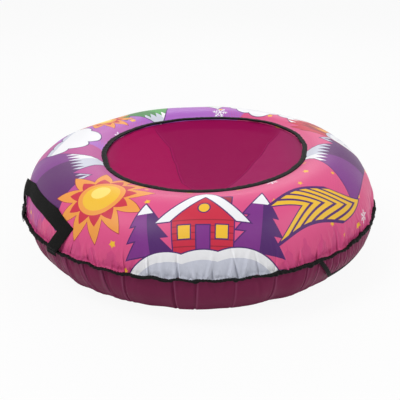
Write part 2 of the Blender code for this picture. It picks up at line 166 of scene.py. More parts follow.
# Folds across the flap: place along the seam and slant from top to bottom, in metres
flap_folds = [
    (-0.125, -0.004), (-0.102, -0.006), (-0.078, -0.008), (-0.050, -0.010), (-0.018, -0.008),
    (0.020, 0.006), (0.058, 0.008), (0.092, 0.006), (0.120, 0.004),
]

# Camera and light
world_light = 0.50
camera_place = (0.0, -1.6648, 0.8490)
camera_tilt = 0.4077
camera_focal_pixels = 693.78
photo_pixels = 400
photo_middle = (199.18, 192.19)
panels_aim = (0, 0, 0.1)
floor_reach = 6.0
floor_level = -0.0006

# Colours, as sRGB of 255
pink = (209, 77, 127)
rose = (196, 66, 122)
magenta_purple = (174, 66, 138)
violet = (164, 96, 186)
snow_white = (229, 229, 232)
snow_shade = (196, 199, 212)
crimson = (190, 40, 64)
dark_crimson = (150, 32, 52)
sun_yellow = (228, 180, 50)
pale_yellow = (240, 212, 110)
orange = (225, 147, 66)
deep_purple = (75, 31, 99)
dark_plum = (86, 30, 96)
plum = (118, 44, 128)
lime = (152, 198, 60)
leaf_green = (74, 150, 72)
dark_green = (58, 122, 60)
seat_magenta = (138, 12, 74)
# The seat's painted light left of its left crease, and its painted sheen on the right and at its sides
seat_left_lit = (152, 12, 78)
seat_right_sheen = (149, 33, 88)
seat_side_sheen = (142, 50, 92)
# Painted shade in the seat's creases, and a painted highlight along their edge
crease_shade_magenta = (104, 6, 60)
crease_edge_highlight = (178, 24, 106)
base_magenta = (119, 41, 75)
# Painted shade on the base towards the ground
base_low_shade = (103, 15, 60)
# Painted shade in the base's fold lines, and a painted highlight on each fold's lit side
fold_line_shade = (104, 3, 56)
fold_lit_highlight = (158, 84, 118)
fold_shadow = (62, 6, 40)
tape_black = (11, 11, 11)
webbing_black = (10, 10, 9)
thread_black = (20, 20, 20)
hook_black = (30, 30, 30)
loop_black = (34, 34, 34)
butyl_black = (34, 34, 35)
plastic_black = (26, 26, 27)
seal_black = (46, 44, 44)
brass_yellow = (196, 158, 92)
steel_grey = (182, 183, 186)


# Lines and waves


def swell(crest, edge, squareness, steps):
    """A quarter of a superellipse, from a level crest to an upright edge."""
    angle = np.linspace(0, math.pi / 2, steps)
    outward = np.sin(angle) ** (2 / squareness)
    upward = np.clip(np.cos(angle), 0, 1) ** (2 / squareness)
    radius = crest[0] + (edge[0] - crest[0]) * outward
    height = edge[1] + (crest[1] - edge[1]) * upward
    return np.stack([radius, height], axis=1)


def reach_along(points):
    """How far along a line of points each point lies."""
    return np.concatenate([[0.0], np.cumsum(np.hypot(*np.diff(points, axis=0).T))])


class Line:
    """A line in radius and height that is read by distance along it, with its outward side."""

    def __init__(self, points, outward=1.0):
        self.points = np.asarray(points, float)
        self.reach = reach_along(self.points)
        slope = np.gradient(self.points, self.reach, axis=0)
        slope /= np.linalg.norm(slope, axis=1)[:, None]
        self.normals = outward * np.stack([-slope[:, 1], slope[:, 0]], axis=1)

    def read(self, table, distance):
        inside = np.clip(distance, 0, self.reach[-1])
        return [np.interp(inside, self.reach, table[:, side]) for side in (0, 1)]

    def at(self, distance):
        radius, height = self.read(self.points, distance)
        out_radius, out_height = self.read(self.normals, distance)
        size = np.hypot(out_radius, out_height)
        return radius, height, out_radius / size, out_height / size


def turns(count):
    """Even angles round a full turn."""
    return np.linspace(0, math.tau, count, endpoint=False)


def squared_off(wave, power):
    """A wave between -1 and 1 whose crests are flatter the lower the power is."""
    return np.sign(wave) * np.abs(wave) ** power


def smooth_share(value, start, end):
    share = np.clip((value - start) / (end - start), 0, 1)
    return share * share * (3 - 2 * share)


def wander(angle, seed, low, high, count=18):
    """A smooth wave round the tube with a root mean square of 1, closed over a turn."""
    dice = np.random.default_rng(seed)
    beats = dice.integers(low, high + 1, count)
    shifts = dice.uniform(0, math.tau, count)
    waves = np.cos(np.multiply.outer(angle, beats) + shifts)
    return waves.sum(axis=-1) / math.sqrt(count / 2)


def turn_between(angle, place):
    return (angle - place + math.pi) % math.tau - math.pi


def around(radius, angle, height):
    radius, angle, height = np.broadcast_arrays(radius, angle, height)
    return np.stack([radius * np.cos(angle), radius * np.sin(angle), height], axis=-1)


def turned_bell(angle, place, half_width):
    """1 at an azimuth and next to nothing two half widths away, both in degrees."""
    return np.exp(-((turn_between(angle, math.radians(place)) / math.radians(half_width)) ** 2))


def pulled(points):
    """The seat's seam drawn in at both sides, out behind and out in front, where the shoulder
    beyond it lies flatter."""
    radius = np.hypot(points[..., 0], points[..., 1])
    angle = np.arctan2(points[..., 1], points[..., 0])
    fade = 1 - smooth_share(radius, seat_seam_radius, seat_seam_radius + pull_reach)
    pull = sum(reach * turned_bell(angle, place, width) for place, reach, width in seam_pulls)
    moved = points.copy()
    moved[..., :2] *= (1 + pull * fade / np.maximum(radius, seat_seam_radius))[..., None]
    inside = np.clip(radius / seat_seam_radius, 0, 1) ** 2
    seam = inside * (1 - smooth_share(radius, seat_seam_radius + seat_tape_width / 2, crest_radius))
    shoulder = np.exp(-(((radius - crest_radius + 0.004) / 0.020) ** 2))
    front = turned_bell(angle, 272, 46)
    moved[..., 2] -= front * (front_seam_sink * seam + front_shoulder_sink * shoulder)
    return moved


def leaned(points):
    """The seat's shift and lean, at their full size inside its seam and gone at the tube's side."""
    points = pulled(points)
    radius = np.hypot(points[..., 0], points[..., 1])
    share = 1 - smooth_share(radius, seat_seam_radius, seat_seam_radius + lean_reach)
    share = share * smooth_share(points[..., 2], seam_height, seat_seam_height - seat_depth)
    moved = points.copy()
    moved[..., 2] += share * seat_rise / seat_seam_radius * points[..., 0]
    moved[..., 0] += share * seat_shift
    return moved


def seam_radius_wave(angle):
    return 0.0007 * wander(angle, 11, 18, 60) + 0.0003 * wander(angle, 12, 70, 140)


def seam_height_wave(angle):
    return 0.0007 * wander(angle, 13, 14, 60)


# Meshes


def add_object(name, data):
    thing = bpy.data.objects.new(name, data)
    bpy.context.scene.collection.objects.link(thing)
    return thing


def place_mesh(name, points, faces, material, body):
    mesh = bpy.data.meshes.new(name)
    mesh.from_pydata(points, [], faces)
    mesh.update()
    mesh.shade_smooth()
    mesh.materials.append(material)
    thing = add_object(name, mesh)
    if body:
        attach(thing, body)
    return thing


def grid_faces(rows, columns, round_rows=False, round_columns=False, skip=None):
    """Quads of a grid of points that may close on itself, without those that are skipped."""
    faces = []
    for row in range(rows if round_rows else rows - 1):
        below = (row + 1) % rows
        for column in range(columns if round_columns else columns - 1):
            beside = (column + 1) % columns
            if skip and skip(row, column):
                continue
            corners = (row * columns + column, below * columns + column)
            faces.append((*corners, below * columns + beside, row * columns + beside))
    return faces


def corner_points(mesh):
    """The number of the point at each face's corner."""
    corners = np.empty(len(mesh.loops), np.int32)
    mesh.loops.foreach_get("vertex_index", corners)
    return corners


def lay_pattern(thing, flat):
    """Writes each point's place on the flat pattern, in metres, as the piece's UV map."""
    layer = thing.data.uv_layers.new(name="UVMap")
    layer.data.foreach_set("uv", flat[corner_points(thing.data)].astype(np.float32).ravel())


def thicken(thing, wall):
    """Gives cloth its wall, inwards."""
    layer = thing.modifiers.new("Cloth", "SOLIDIFY")
    layer.thickness = wall
    layer.offset = -1


def closed_band(name, rings, material, body, ends_meet=False):
    """A tube of closed rings, round as a whole or with its two ends capped."""
    rings = np.asarray(rings)
    count, size = rings.shape[:2]
    faces = grid_faces(count, size, round_rows=ends_meet, round_columns=True)
    if not ends_meet:
        faces.append(tuple(range(size)))
        faces.append(tuple(range(count * size - 1, (count - 1) * size - 1, -1)))
    return turned_outward(place_mesh(name, rings.reshape(-1, 3), faces, material, body))


def turned_outward(thing):
    """Makes the faces of a closed piece point out."""
    shape = bmesh.new()
    shape.from_mesh(thing.data)
    bmesh.ops.recalc_face_normals(shape, faces=shape.faces)
    shape.to_mesh(thing.data)
    shape.free()
    return thing


# Shader building


class Value:
    """A value in a shader. Arithmetic on it adds nodes to the tree that it is in."""

    def __init__(self, socket):
        self.socket = socket

    def __add__(self, other):
        return calc("ADD", self, other)

    def __sub__(self, other):
        return calc("SUBTRACT", self, other)

    def __rsub__(self, other):
        return calc("SUBTRACT", other, self)

    def __mul__(self, other):
        return calc("MULTIPLY", self, other)

    def __truediv__(self, other):
        return calc("DIVIDE", self, other)

    def __neg__(self):
        return calc("MULTIPLY", self, -1.0)

    def __abs__(self):
        return calc("ABSOLUTE", self)

    def __lt__(self, other):
        return calc("LESS_THAN", self, other)

    def __gt__(self, other):
        return calc("GREATER_THAN", self, other)


def joined(socket, value):
    """Links a value to a socket, or sets the socket to a constant."""
    if isinstance(value, Value):
        socket.id_data.links.new(value.socket, socket)
    else:
        socket.default_value = value


def added(kind, *values, **settings):
    """A new node in the tree of the values, with its settings, and with the values as its first
    inputs."""
    tree = next(value.socket.id_data for value in values if isinstance(value, Value))
    node = tree.nodes.new(kind)
    for name, setting in settings.items():
        setattr(node, name, setting)
    for socket, value in zip(node.inputs, values):
        joined(socket, value)
    return node


def calc(operation, *values, clamp=False):
    return Value(added("ShaderNodeMath", *values, operation=operation, use_clamp=clamp).outputs[0])


def vector_calc(operation, *values):
    node = added("ShaderNodeVectorMath", *values, operation=operation)
    return Value(node.outputs["Value" if operation in ("LENGTH", "DISTANCE") else "Vector"])


def scaled(vector, share):
    node = added("ShaderNodeVectorMath", vector, operation="SCALE")
    joined(node.inputs["Scale"], share)
    return Value(node.outputs[0])


def named_parts(vector):
    """The x, y and z of a vector."""
    return [Value(part) for part in added("ShaderNodeSeparateXYZ", vector).outputs]


def kept(tree, name):
    """The parts of a vector kept on the mesh."""
    node = tree.nodes.new("ShaderNodeAttribute")
    node.attribute_name = name
    return named_parts(Value(node.outputs["Vector"]))


def place_of(tree, kind="Object"):
    return Value(tree.nodes.new("ShaderNodeTexCoord").outputs[kind])


def eased(value, start, end):
    """0 before the start, 1 past the end and smooth between them."""
    node = added("ShaderNodeMapRange", value, start, end, interpolation_type="SMOOTHSTEP")
    return Value(node.outputs["Result"])


def bell(value, middle, half_width):
    """1 at the middle, and next to nothing two half widths away."""
    off = (value - middle) / half_width
    return calc("POWER", math.e, -(off * off))


def colour_of(red, green, blue):
    """A linear colour from sRGB of 255."""
    parts = []
    for value in (red, green, blue):
        share = value / 255
        parts.append(share / 12.92 if share <= 0.04045 else ((share + 0.055) / 1.055) ** 2.4)
    return (*parts, 1.0)


def tinted(mask, under, over):
    """One linear colour over another, where the mask is 1."""
    node = added("ShaderNodeMix", mask, data_type="RGBA")
    joined(node.inputs[6], under)
    joined(node.inputs[7], over)
    return Value(node.outputs[2])


def dyed(mask, colour, tone):
    """A tone of the palette over a colour, where the mask is 1."""
    return tinted(mask, colour, colour_of(*tone))


def noise(place, scale, detail=2.0, roughness=0.5):
    # The second input, W, isn't read in three dimensions
    return Value(added("ShaderNodeTexNoise", place, 0.0, scale, detail, roughness).outputs["Fac"])


def bumped(shader, height, strength, distance):
    bump = shader.id_data.nodes.new("ShaderNodeBump")
    for name, value in (("Strength", strength), ("Distance", distance), ("Height", height)):
        joined(bump.inputs[name], value)
    joined(shader.inputs["Normal"], Value(bump.outputs["Normal"]))


def new_finish(name, roughness, **fixed):
    material = bpy.data.materials.new(name)
    material.use_nodes = True
    tree = material.node_tree
    shader = tree.nodes["Principled BSDF"]
    shader.inputs["Roughness"].default_value = roughness
    for socket, value in fixed.items():
        shader.inputs[socket.replace("_", " ")].default_value = value
    return material, tree, shader


def weave(place, pitch):
    """A plain weave between -1 and 1: threads over and under at a pitch in metres."""
    warp, weft, _ = named_parts(scaled(place, math.pi / pitch))
    return calc("SINE", warp) * calc("SINE", weft)


# The print: motifs on the flat pattern, in metres


def spot_on_pattern(flat, azimuth, reach, turn=0.0):
    """Coordinates about a spot at an azimuth and a distance out from the seat's seam, x to its
    right and y up towards the seat."""
    radius = seat_seam_radius + reach
    angle = math.radians(azimuth)
    middle = (radius * math.cos(angle), radius * math.sin(angle), 0)
    spin = (0, 0, angle - math.radians(270 - turn))
    spot = Value(added("ShaderNodeMapping", flat, middle, spin, vector_type="TEXTURE").outputs[0])
    x, y, _ = named_parts(spot)
    return spot, x, y


def paint(colour, distance, tone, rim=0.0028, rim_tone=deep_purple):
    """Fills where the distance outside a shape is below 0, over a darker rim round it."""
    return fill(dyed(distance < rim, colour, rim_tone), distance, tone)


def fill(colour, distance, tone):
    return dyed(distance < 0.0, colour, tone)


def discs_away(spot, size, discs):
    """Distance outside a union of discs, each x, y and radius as shares of a size."""
    return nearest_of(
        vector_calc("DISTANCE", spot, (x * size, y * size, 0)) - radius * size for x, y, radius in discs
    )


def box_away(x, y, size, middle, half):
    """Distance outside a box, about."""
    across = abs(x - middle[0] * size) - half[0] * size
    upward = abs(y - middle[1] * size) - half[1] * size
    return both(across, upward)


def gable_away(x, y, size, top, foot, half_width):
    """Distance outside a triangle that stands on a level base, about."""
    slope = (top[1] - foot) / half_width
    steep = math.hypot(1, slope)
    above = y * (1 / steep) - top[1] * size / steep
    over = abs(x - top[0] * size) * (slope / steep) + above
    return both(over, foot * size - y)


def both(first, second):
    """The distance outside what two shapes share."""
    return calc("MAXIMUM", first, second)


def either(first, second):
    """1 where either of two masks is 1."""
    return calc("MAXIMUM", first, second)


def nearest_of(distances):
    """The distance outside a union of shapes."""
    return functools.reduce(lambda first, second: calc("MINIMUM", first, second), distances)


def draw_cloud(colour, flat, azimuth, reach, size):
    """A cloud with a level foot and a shaded underside."""
    spot, _, height = spot_on_pattern(flat, azimuth, reach)
    discs = [(-0.95, 0, 0.42), (-0.35, 0.28, 0.58), (0.38, 0.16, 0.50), (0.98, -0.06, 0.34)]
    away = both(discs_away(spot, size, discs), -0.30 * size - height)
    colour = paint(colour, away, snow_white)
    return fill(colour, both(away, height + 0.12 * size), snow_shade)


def draw_mountain(colour, flat, azimuth, reach, size, body, shade, cap=0.04):
    """Two peaks with zigzag snow caps and a darker right-hand face."""
    _, x, y = spot_on_pattern(flat, azimuth, reach)
    peaks = (((0.0, 1.0), 0.92), ((0.66, 0.62), 0.66))
    away = nearest_of(gable_away(x, y, size, top, -0.25, half) for top, half in peaks)
    colour = paint(colour, away, body)
    right = 0.04 * size - (y * 0.22 + x)
    colour = fill(colour, both(away, right), shade)
    teeth = calc("PINGPONG", x, 0.065 * size)
    snow = both(away, teeth * -2.6 + (0.62 - cap) * size - y)
    colour = fill(colour, snow, snow_white)
    return fill(colour, both(snow, right), snow_shade)


def draw_comet(colour, flat, azimuth, reach, size, turn=0.0):
    """A snowball that flies ahead of a crimson tail with a jagged end."""
    spot, x, y = spot_on_pattern(flat, azimuth, reach, turn)
    side = abs(y)
    teeth = calc("PINGPONG", y, 0.14 * size)
    flames = ((3.7, 1.0, crimson), (3.0, 0.74, dark_crimson), (2.3, 0.46, orange), (1.8, 0.24, sun_yellow))
    for length, width, tone in flames:
        end = teeth * 5.0 + (side * 1.2 - length * size)
        edge = x * 0.13 + (side - width * size)
        away = both(both(x + end, edge), -x)
        if tone == crimson:
            colour = paint(colour, away, tone, rim_tone=dark_crimson)
        else:
            colour = fill(colour, away, tone)
    away = vector_calc("LENGTH", spot) - size
    colour = paint(colour, away, snow_shade, rim=0.0035, rim_tone=dark_crimson)
    colour = fill(colour, discs_away(spot, size, [(-0.14, 0.14, 0.84)]), snow_white)
    dents = [(-0.30, 0.36, 0.13), (0.22, 0.02, 0.17), (-0.34, -0.32, 0.11), (0.10, 0.55, 0.07)]
    return fill(colour, discs_away(spot, size, dents), snow_shade)


def draw_burst(colour, flat, azimuth, reach, size):
    """A spiked sun with a ring of crimson teeth."""
    spot, x, y = spot_on_pattern(flat, azimuth, reach)
    away = vector_calc("LENGTH", spot)
    spikes = calc("PINGPONG", calc("ARCTAN2", y, x), math.pi / 11)
    edge = spikes * (-1.9 * size) + 1.25 * size
    colour = paint(colour, away - edge, orange, rim_tone=dark_crimson)
    inner = spikes * (-0.9 * size) + 0.84 * size
    colour = fill(colour, away - inner, crimson)
    for share, tone in ((0.56, orange), (0.44, sun_yellow)):
        colour = fill(colour, away - share * size, tone)
    return fill(colour, discs_away(spot, size, [(-0.1, 0.1, 0.22)]), pale_yellow)


def draw_fir(colour, x, y, place, size, body, shade):
    """A fir of three tiers on a trunk, with snow on its tips."""
    x, y = x - place[0], y - place[1]
    colour = paint(colour, box_away(x, y, size, (0.0, 0.08), (0.07, 0.12)), deep_purple)
    tiers = ((1.0, 0.62, 0.24), (0.80, 0.38, 0.33), (0.58, 0.12, 0.42))
    away = nearest_of(gable_away(x, y, size, (0.0, top), foot, half) for top, foot, half in tiers)
    colour = paint(colour, away, body)
    colour = fill(colour, both(away, 0.03 * size - x), shade)
    return fill(colour, both(away, 0.80 * size - y), snow_white)


def draw_village(colour, flat, azimuth, reach, size):
    """A cabin and two firs on a snow hill."""
    spot, x, y = spot_on_pattern(flat, azimuth, reach)
    for place, tall in (((-0.98, -0.42), 1.05), ((0.98, -0.40), 1.25)):
        foot = (place[0] * size, place[1] * size)
        colour = draw_fir(colour, x, y, foot, tall * size, plum, deep_purple)
    colour = paint(colour, box_away(x, y, size, (0.36, 0.52), (0.09, 0.20)), dark_crimson)
    wall = box_away(x, y, size, (0.0, 0.0), (0.52, 0.32))
    gable = gable_away(x, y, size, (0.0, 0.78), 0.30, 0.60)
    colour = paint(colour, nearest_of((wall, gable)), crimson)
    planks = calc("PINGPONG", y, 0.055 * size) - 0.010 * size
    colour = fill(colour, both(wall, planks), dark_crimson)
    outer = gable_away(x, y, size, (0.0, 0.95), 0.22, 0.80)
    inner = gable_away(x, y, size, (0.0, 0.74), 0.0, 0.80)
    colour = paint(colour, both(outer, -inner), snow_white)
    door = ((0.0, -0.10), (0.11, 0.22), plum)
    windows = [((side, 0.02), (0.10, 0.11), sun_yellow) for side in (-0.32, 0.32)]
    for middle, half, tone in (door, *windows):
        colour = paint(colour, box_away(x, y, size, middle, half), tone)
    colour = paint(colour, discs_away(spot, size, [(0, 0.46, 0.09)]), sun_yellow)
    hill = [
        (-0.75, -1.30, 1.02),
        (0.0, -1.42, 1.14),
        (0.72, -1.42, 1.20),
        (1.75, -1.30, 0.85),
        (-1.85, -1.35, 0.80),
    ]
    colour = paint(colour, discs_away(spot, size, hill), snow_white)
    low = [(across, upward - 0.16, radius) for across, upward, radius in hill]
    return fill(colour, discs_away(spot, size, low), snow_shade)


def draw_ribbon(colour, turned, radius, azimuth, half_turn, reach, width, swing):
    """A wavy ribbon with a dark border and a chevron pattern, that follows the ring."""
    waves, slope, border, half_pitch, half_gap = 7.5, 2.1, 0.0075, 0.0165, 0.0058
    middle = seat_seam_radius + reach
    angle = calc("WRAP", turned - math.radians(azimuth), math.pi, -math.pi)
    side = abs(radius - (calc("SINE", angle * waves) * swing + middle))
    chevron = side * slope + angle * middle
    span = abs(chevron) < half_turn * middle
    core = span * (side < width - border)
    bars = core * (calc("PINGPONG", chevron, half_pitch) > half_gap)
    colour = dyed(span * (side < width), colour, deep_purple)
    return dyed(bars, colour, sun_yellow)


def scattered(flat, cell, spread, keep):
    """Cells strewn over the pattern: coordinates about each cell's own middle, each turned by
    chance, with a chance value and a mask of the cells in use."""
    # The second input, W, isn't read in two dimensions
    cells = added("ShaderNodeTexVoronoi", flat, 0.0, 1 / cell, voronoi_dimensions="2D")
    cells.inputs["Randomness"].default_value = spread
    chance = added("ShaderNodeSeparateColor", Value(cells.outputs["Color"])).outputs
    spin, size, use = (Value(part) for part in (chance[0], chance[2], chance[1]))
    away = vector_calc("SUBTRACT", flat, Value(cells.outputs["Position"]))
    turned = added("ShaderNodeVectorRotate", away, rotation_type="Z_AXIS")
    joined(turned.inputs["Angle"], spin * math.tau)
    return Value(turned.outputs[0]), size, use < keep


def folded_turn(spot, arms):
    """The angle round a spot, folded alike into each half arm of a star."""
    x, y, _ = named_parts(spot)
    return calc("PINGPONG", calc("ARCTAN2", y, x), math.pi / arms)


def draw_stars(colour, flat):
    """Five-pointed stars of chance sizes, with an orange rim."""
    spot, chance, used = scattered(flat, cell=0.072, spread=0.8, keep=0.42)
    lean = calc("COSINE", folded_turn(spot, 5) - math.radians(54))
    reach = vector_calc("LENGTH", spot) * lean
    size = chance * 0.0028 + 0.0022
    colour = dyed(used * (reach < size + 0.0012), colour, orange)
    return dyed(used * (reach < size), colour, sun_yellow)


def draw_flakes(colour, flat):
    """Six-armed snowflakes with two pairs of barbs on each arm."""
    spot, chance, used = scattered(flat, cell=0.128, spread=0.7, keep=0.40)
    fold = folded_turn(spot, 6)
    away = vector_calc("LENGTH", spot) / (chance * 0.010 + 0.015)
    x = away * calc("COSINE", fold)
    y = away * calc("SINE", fold)
    shape = (y < 0.055) * (x < 1.0)
    for start, length in ((0.42, 0.30), (0.70, 0.22)):
        ahead = x - start
        along = y * 0.866 + ahead * 0.5
        across = y * -0.5 + ahead * 0.866
        shape = either(shape, (abs(across) < 0.05) * (along < length))
    return dyed(shape * used, colour, snow_white)


def draw_halftone(colour, flat):
    """Patches of small dots, that shrink towards the patch's edge."""
    dots_per_metre, strength = 140, 0.35
    size = calc("MULTIPLY", noise(flat, 4.2, 0.0) - 0.53, 4.0, clamp=True)
    spread = vector_calc("MULTIPLY", flat, (dots_per_metre, dots_per_metre, 0))
    away = vector_calc("DISTANCE", vector_calc("FRACTION", spread), (0.5, 0.5, 0))
    return dyed((away < size) * strength, colour, rose)


def draw_forest(colour, turned, drop):
    """A row of plain fir tops that stands on the outer seam."""
    firs, least, gain, strength = 58, 0.030, 0.045, 0.75
    share = turned * (firs / math.tau)
    dice = added("ShaderNodeTexWhiteNoise", (0, 0, 0), calc("FLOOR", share), noise_dimensions="1D")
    tall = Value(dice.outputs["Value"]) * gain + least
    side = abs(calc("FRACT", share) - 0.5)
    top = tall * (side * -2.0 + 1.0)
    edge = calc("PINGPONG", drop, 0.011) * 0.9 + top
    return dyed((drop < edge) * strength, colour, rose)


def draw_ground(turned, radius):
    """Pink in front and on the right, magenta-purple on the left and violet behind, with
    slanting borders."""
    lap = calc("WRAP", radius * 1.3 + turned, math.tau, 0.0)
    colour = colour_of(*pink)
    for start, tone in ((62, violet), (172, magenta_purple), (226, pink)):
        colour = dyed(lap > math.radians(start) + 0.45, colour, tone)
    return colour


def gathered(turned, drop, reach):
    """Fine folds that run from the seam and fade with their reach, half up and half down."""
    line = added("ShaderNodeCombineXYZ", calc("COSINE", turned), calc("SINE", turned), drop * 0.9)
    ripple = noise(Value(line.outputs[0]), 42.0, 2.0) - 0.5
    fade_base = 2.718
    return ripple * calc("POWER", fade_base, drop * (-1 / reach))


def draw_print(colour, flat, turned, radius):
    """The large motifs, the later ones over the earlier."""
    for azimuth, reach, size in ((199, 0.140, 0.150), (344, 0.125, 0.160)):
        colour = draw_mountain(colour, flat, azimuth, reach, size, plum, dark_plum)
    colour = draw_mountain(colour, flat, 118, 0.120, 0.130, leaf_green, dark_green, cap=-0.10)
    for azimuth, reach, size in ((234, 0.110, 0.092), (140, 0.110, 0.070)):
        colour = draw_burst(colour, flat, azimuth, reach, size)
    for azimuth, reach, size in ((170, 0.095, 0.080), (38, 0.090, 0.070), (62, 0.070, 0.060)):
        colour = draw_cloud(colour, flat, azimuth, reach, size)
    _, x, y = spot_on_pattern(flat, 92, 0.150)
    for foot, size in (((-0.055, -0.060), 0.170), ((0.050, -0.070), 0.140)):
        colour = draw_fir(colour, x, y, foot, size, lime, leaf_green)
    colour = draw_village(colour, flat, azimuth=271, reach=0.165, size=0.125)
    ribbon = {"azimuth": 317, "half_turn": 0.235, "reach": 0.160, "width": 0.047, "swing": 0.024}
    colour = draw_ribbon(colour, turned, radius, **ribbon)
    return draw_comet(colour, flat, azimuth=8, reach=0.125, size=0.056, turn=40)


def printed_cloth():
    material, tree, shader = new_finish("printed_cloth", 0.42, Specular_IOR_Level=0.25)
    flat = place_of(tree, "UV")
    x, y, _ = named_parts(flat)
    turned = calc("WRAP", calc("ARCTAN2", y, x), math.tau, 0.0)
    radius = vector_calc("LENGTH", flat)
    drop = pattern_radius - radius
    colour = draw_halftone(draw_ground(turned, radius), flat)
    colour = draw_forest(colour, turned, drop)
    colour = draw_stars(draw_flakes(colour, flat), flat)
    colour = draw_print(colour, flat, turned, radius)
    fade = noise(flat, 9.0, 3.0)
    _, _, lit, height = crisp_folds(tree, 0.0026)
    # Random tone, with a painted highlight on each fold's lit side
    tone_and_painted_highlight = lit * 0.30 + (fade * 0.10 + 0.95)
    joined(shader.inputs["Base Color"], scaled(colour, tone_and_painted_highlight))
    joined(shader.inputs["Roughness"], fade * 0.16 + 0.34)
    folds = height * 0.0030 + gathered(turned, drop, 0.030) * 0.009
    bumped(shader, weave(flat, 0.0007) * 0.00003 + folds, 1.0, 1.0)
    return material


def crisp_folds(tree, lit_width):
    """Masks of the line, the shaded side and the lit side of each fold, and the folds' height."""
    across, strong, deep = kept(tree, "folds")
    line = strong * bell(across, 0.0, 0.0012)
    shaded = deep * bell(across, -0.0026, 0.0018)
    lit = strong * bell(across, 0.0016 + lit_width, lit_width)
    return line, shaded, lit, line * -0.6 + lit


def between(mask, tone, low, high):
    """A tone that varies with a mask between two shares of its own light."""
    base = colour_of(*tone)[:3]
    dark, light = ((*(min(1.0, part * share) for part in base), 1.0) for share in (low, high))
    return tinted(mask, dark, light)


def cloudy_tone(place, tone, contrast):
    """A tone a little darker and lighter from place to place."""
    return between(noise(place, 7.0, 3.0), tone, 1 - contrast, 1 + contrast)


def seat_cloth():
    """Coated cloth: painted light left of the left crease, painted sheen on the right and at both sides."""
    material, tree, shader = new_finish("seat_cloth", 0.5, Specular_IOR_Level=0.012)
    place = place_of(tree)
    left, right, shown = kept(tree, "creases")
    side = eased(abs(named_parts(place)[0]), 0.19, 0.27)
    colour = cloudy_tone(place, seat_magenta, 0.05)
    # Painted light left of the left crease, and painted sheen right of the right crease
    for away, tone in ((left, seat_left_lit), (right, seat_right_sheen)):
        colour = dyed(eased(away, 0.003, -0.004), colour, tone)
    # Painted sheen at both sides of the seat
    colour = dyed(side * 0.6, colour, seat_side_sheen)
    # Painted shade in each crease, and a painted highlight along its edge
    for away in (left, right):
        colour = dyed(shown * bell(away, 0.0, 0.0014) * 0.8, colour, crease_shade_magenta)
        colour = dyed(shown * bell(away, 0.0030, 0.0012) * 0.5, colour, crease_edge_highlight)
    joined(shader.inputs["Base Color"], colour)
    joined(shader.inputs["Roughness"], noise(place, 60.0, 2.0) * 0.12 + 0.44)
    bumped(shader, weave(place, 0.0009), 0.3, 0.0001)
    return material


def base_cloth():
    """Glossy coated cloth; painted shade at its folds and near the ground, painted highlight by each fold.
    """
    material, tree, shader = new_finish("base_cloth", 0.36, Specular_IOR_Level=0.03)
    place = place_of(tree)
    line, shaded, lit, height = crisp_folds(tree, 0.0019)
    # Painted shade towards the ground, where the cloth is also rougher
    low = eased(named_parts(place)[2], 0.080, 0.012)
    colour = cloudy_tone(place, base_magenta, 0.08)
    # Painted shade near the ground and along each fold's line and shaded side, and a painted highlight on
    # its lit side
    layers = (
        (low, 0.85, base_low_shade),
        (shaded, 0.6, fold_shadow),
        (lit, 0.85, fold_lit_highlight),
        (line, 0.80, fold_line_shade),
    )
    for mask, strength, tone in layers:
        colour = dyed(mask * strength, colour, tone)
    joined(shader.inputs["Base Color"], colour)
    joined(shader.inputs["Roughness"], low * 0.45 + (noise(place, 60.0, 2.0) * 0.12 + 0.30))
    bumped(shader, height * 0.0014 + weave(place, 0.0012) * 0.00002, 1.0, 1.0)
    return material


def tape_cloth(name, tone, pitch):
    """Woven narrow fabric, greyer from place to place."""
    material, tree, shader = new_finish(name, 0.70, Specular_IOR_Level=0.14)
    place = place_of(tree)
    cloudy = eased(noise(place, 150.0, 4.0, 0.65), 0.35, 0.75)
    joined(shader.inputs["Base Color"], between(cloudy, tone, 0.5, 2.2))
    bumped(shader, weave(place, pitch), 0.5, 0.0002)
    return material


def webbing_cloth():
    """Flat webbing: ribs across its width and a fine herringbone along it, from its own UV map."""
    material, tree, shader = new_finish("webbing_cloth", 0.8, Specular_IOR_Level=0.12)
    flat = place_of(tree, "UV")
    across, along, _ = named_parts(flat)
    rows = along + calc("PINGPONG", across, 0.0044)
    ribs = calc("SINE", rows * (math.tau / 0.0017))
    shade = ribs * 0.22 + noise(flat, 300.0, 3.0)
    joined(shader.inputs["Base Color"], between(shade, webbing_black, 0.55, 1.6))
    bumped(shader, ribs, 0.6, 0.0003)
    return material


# Stitches


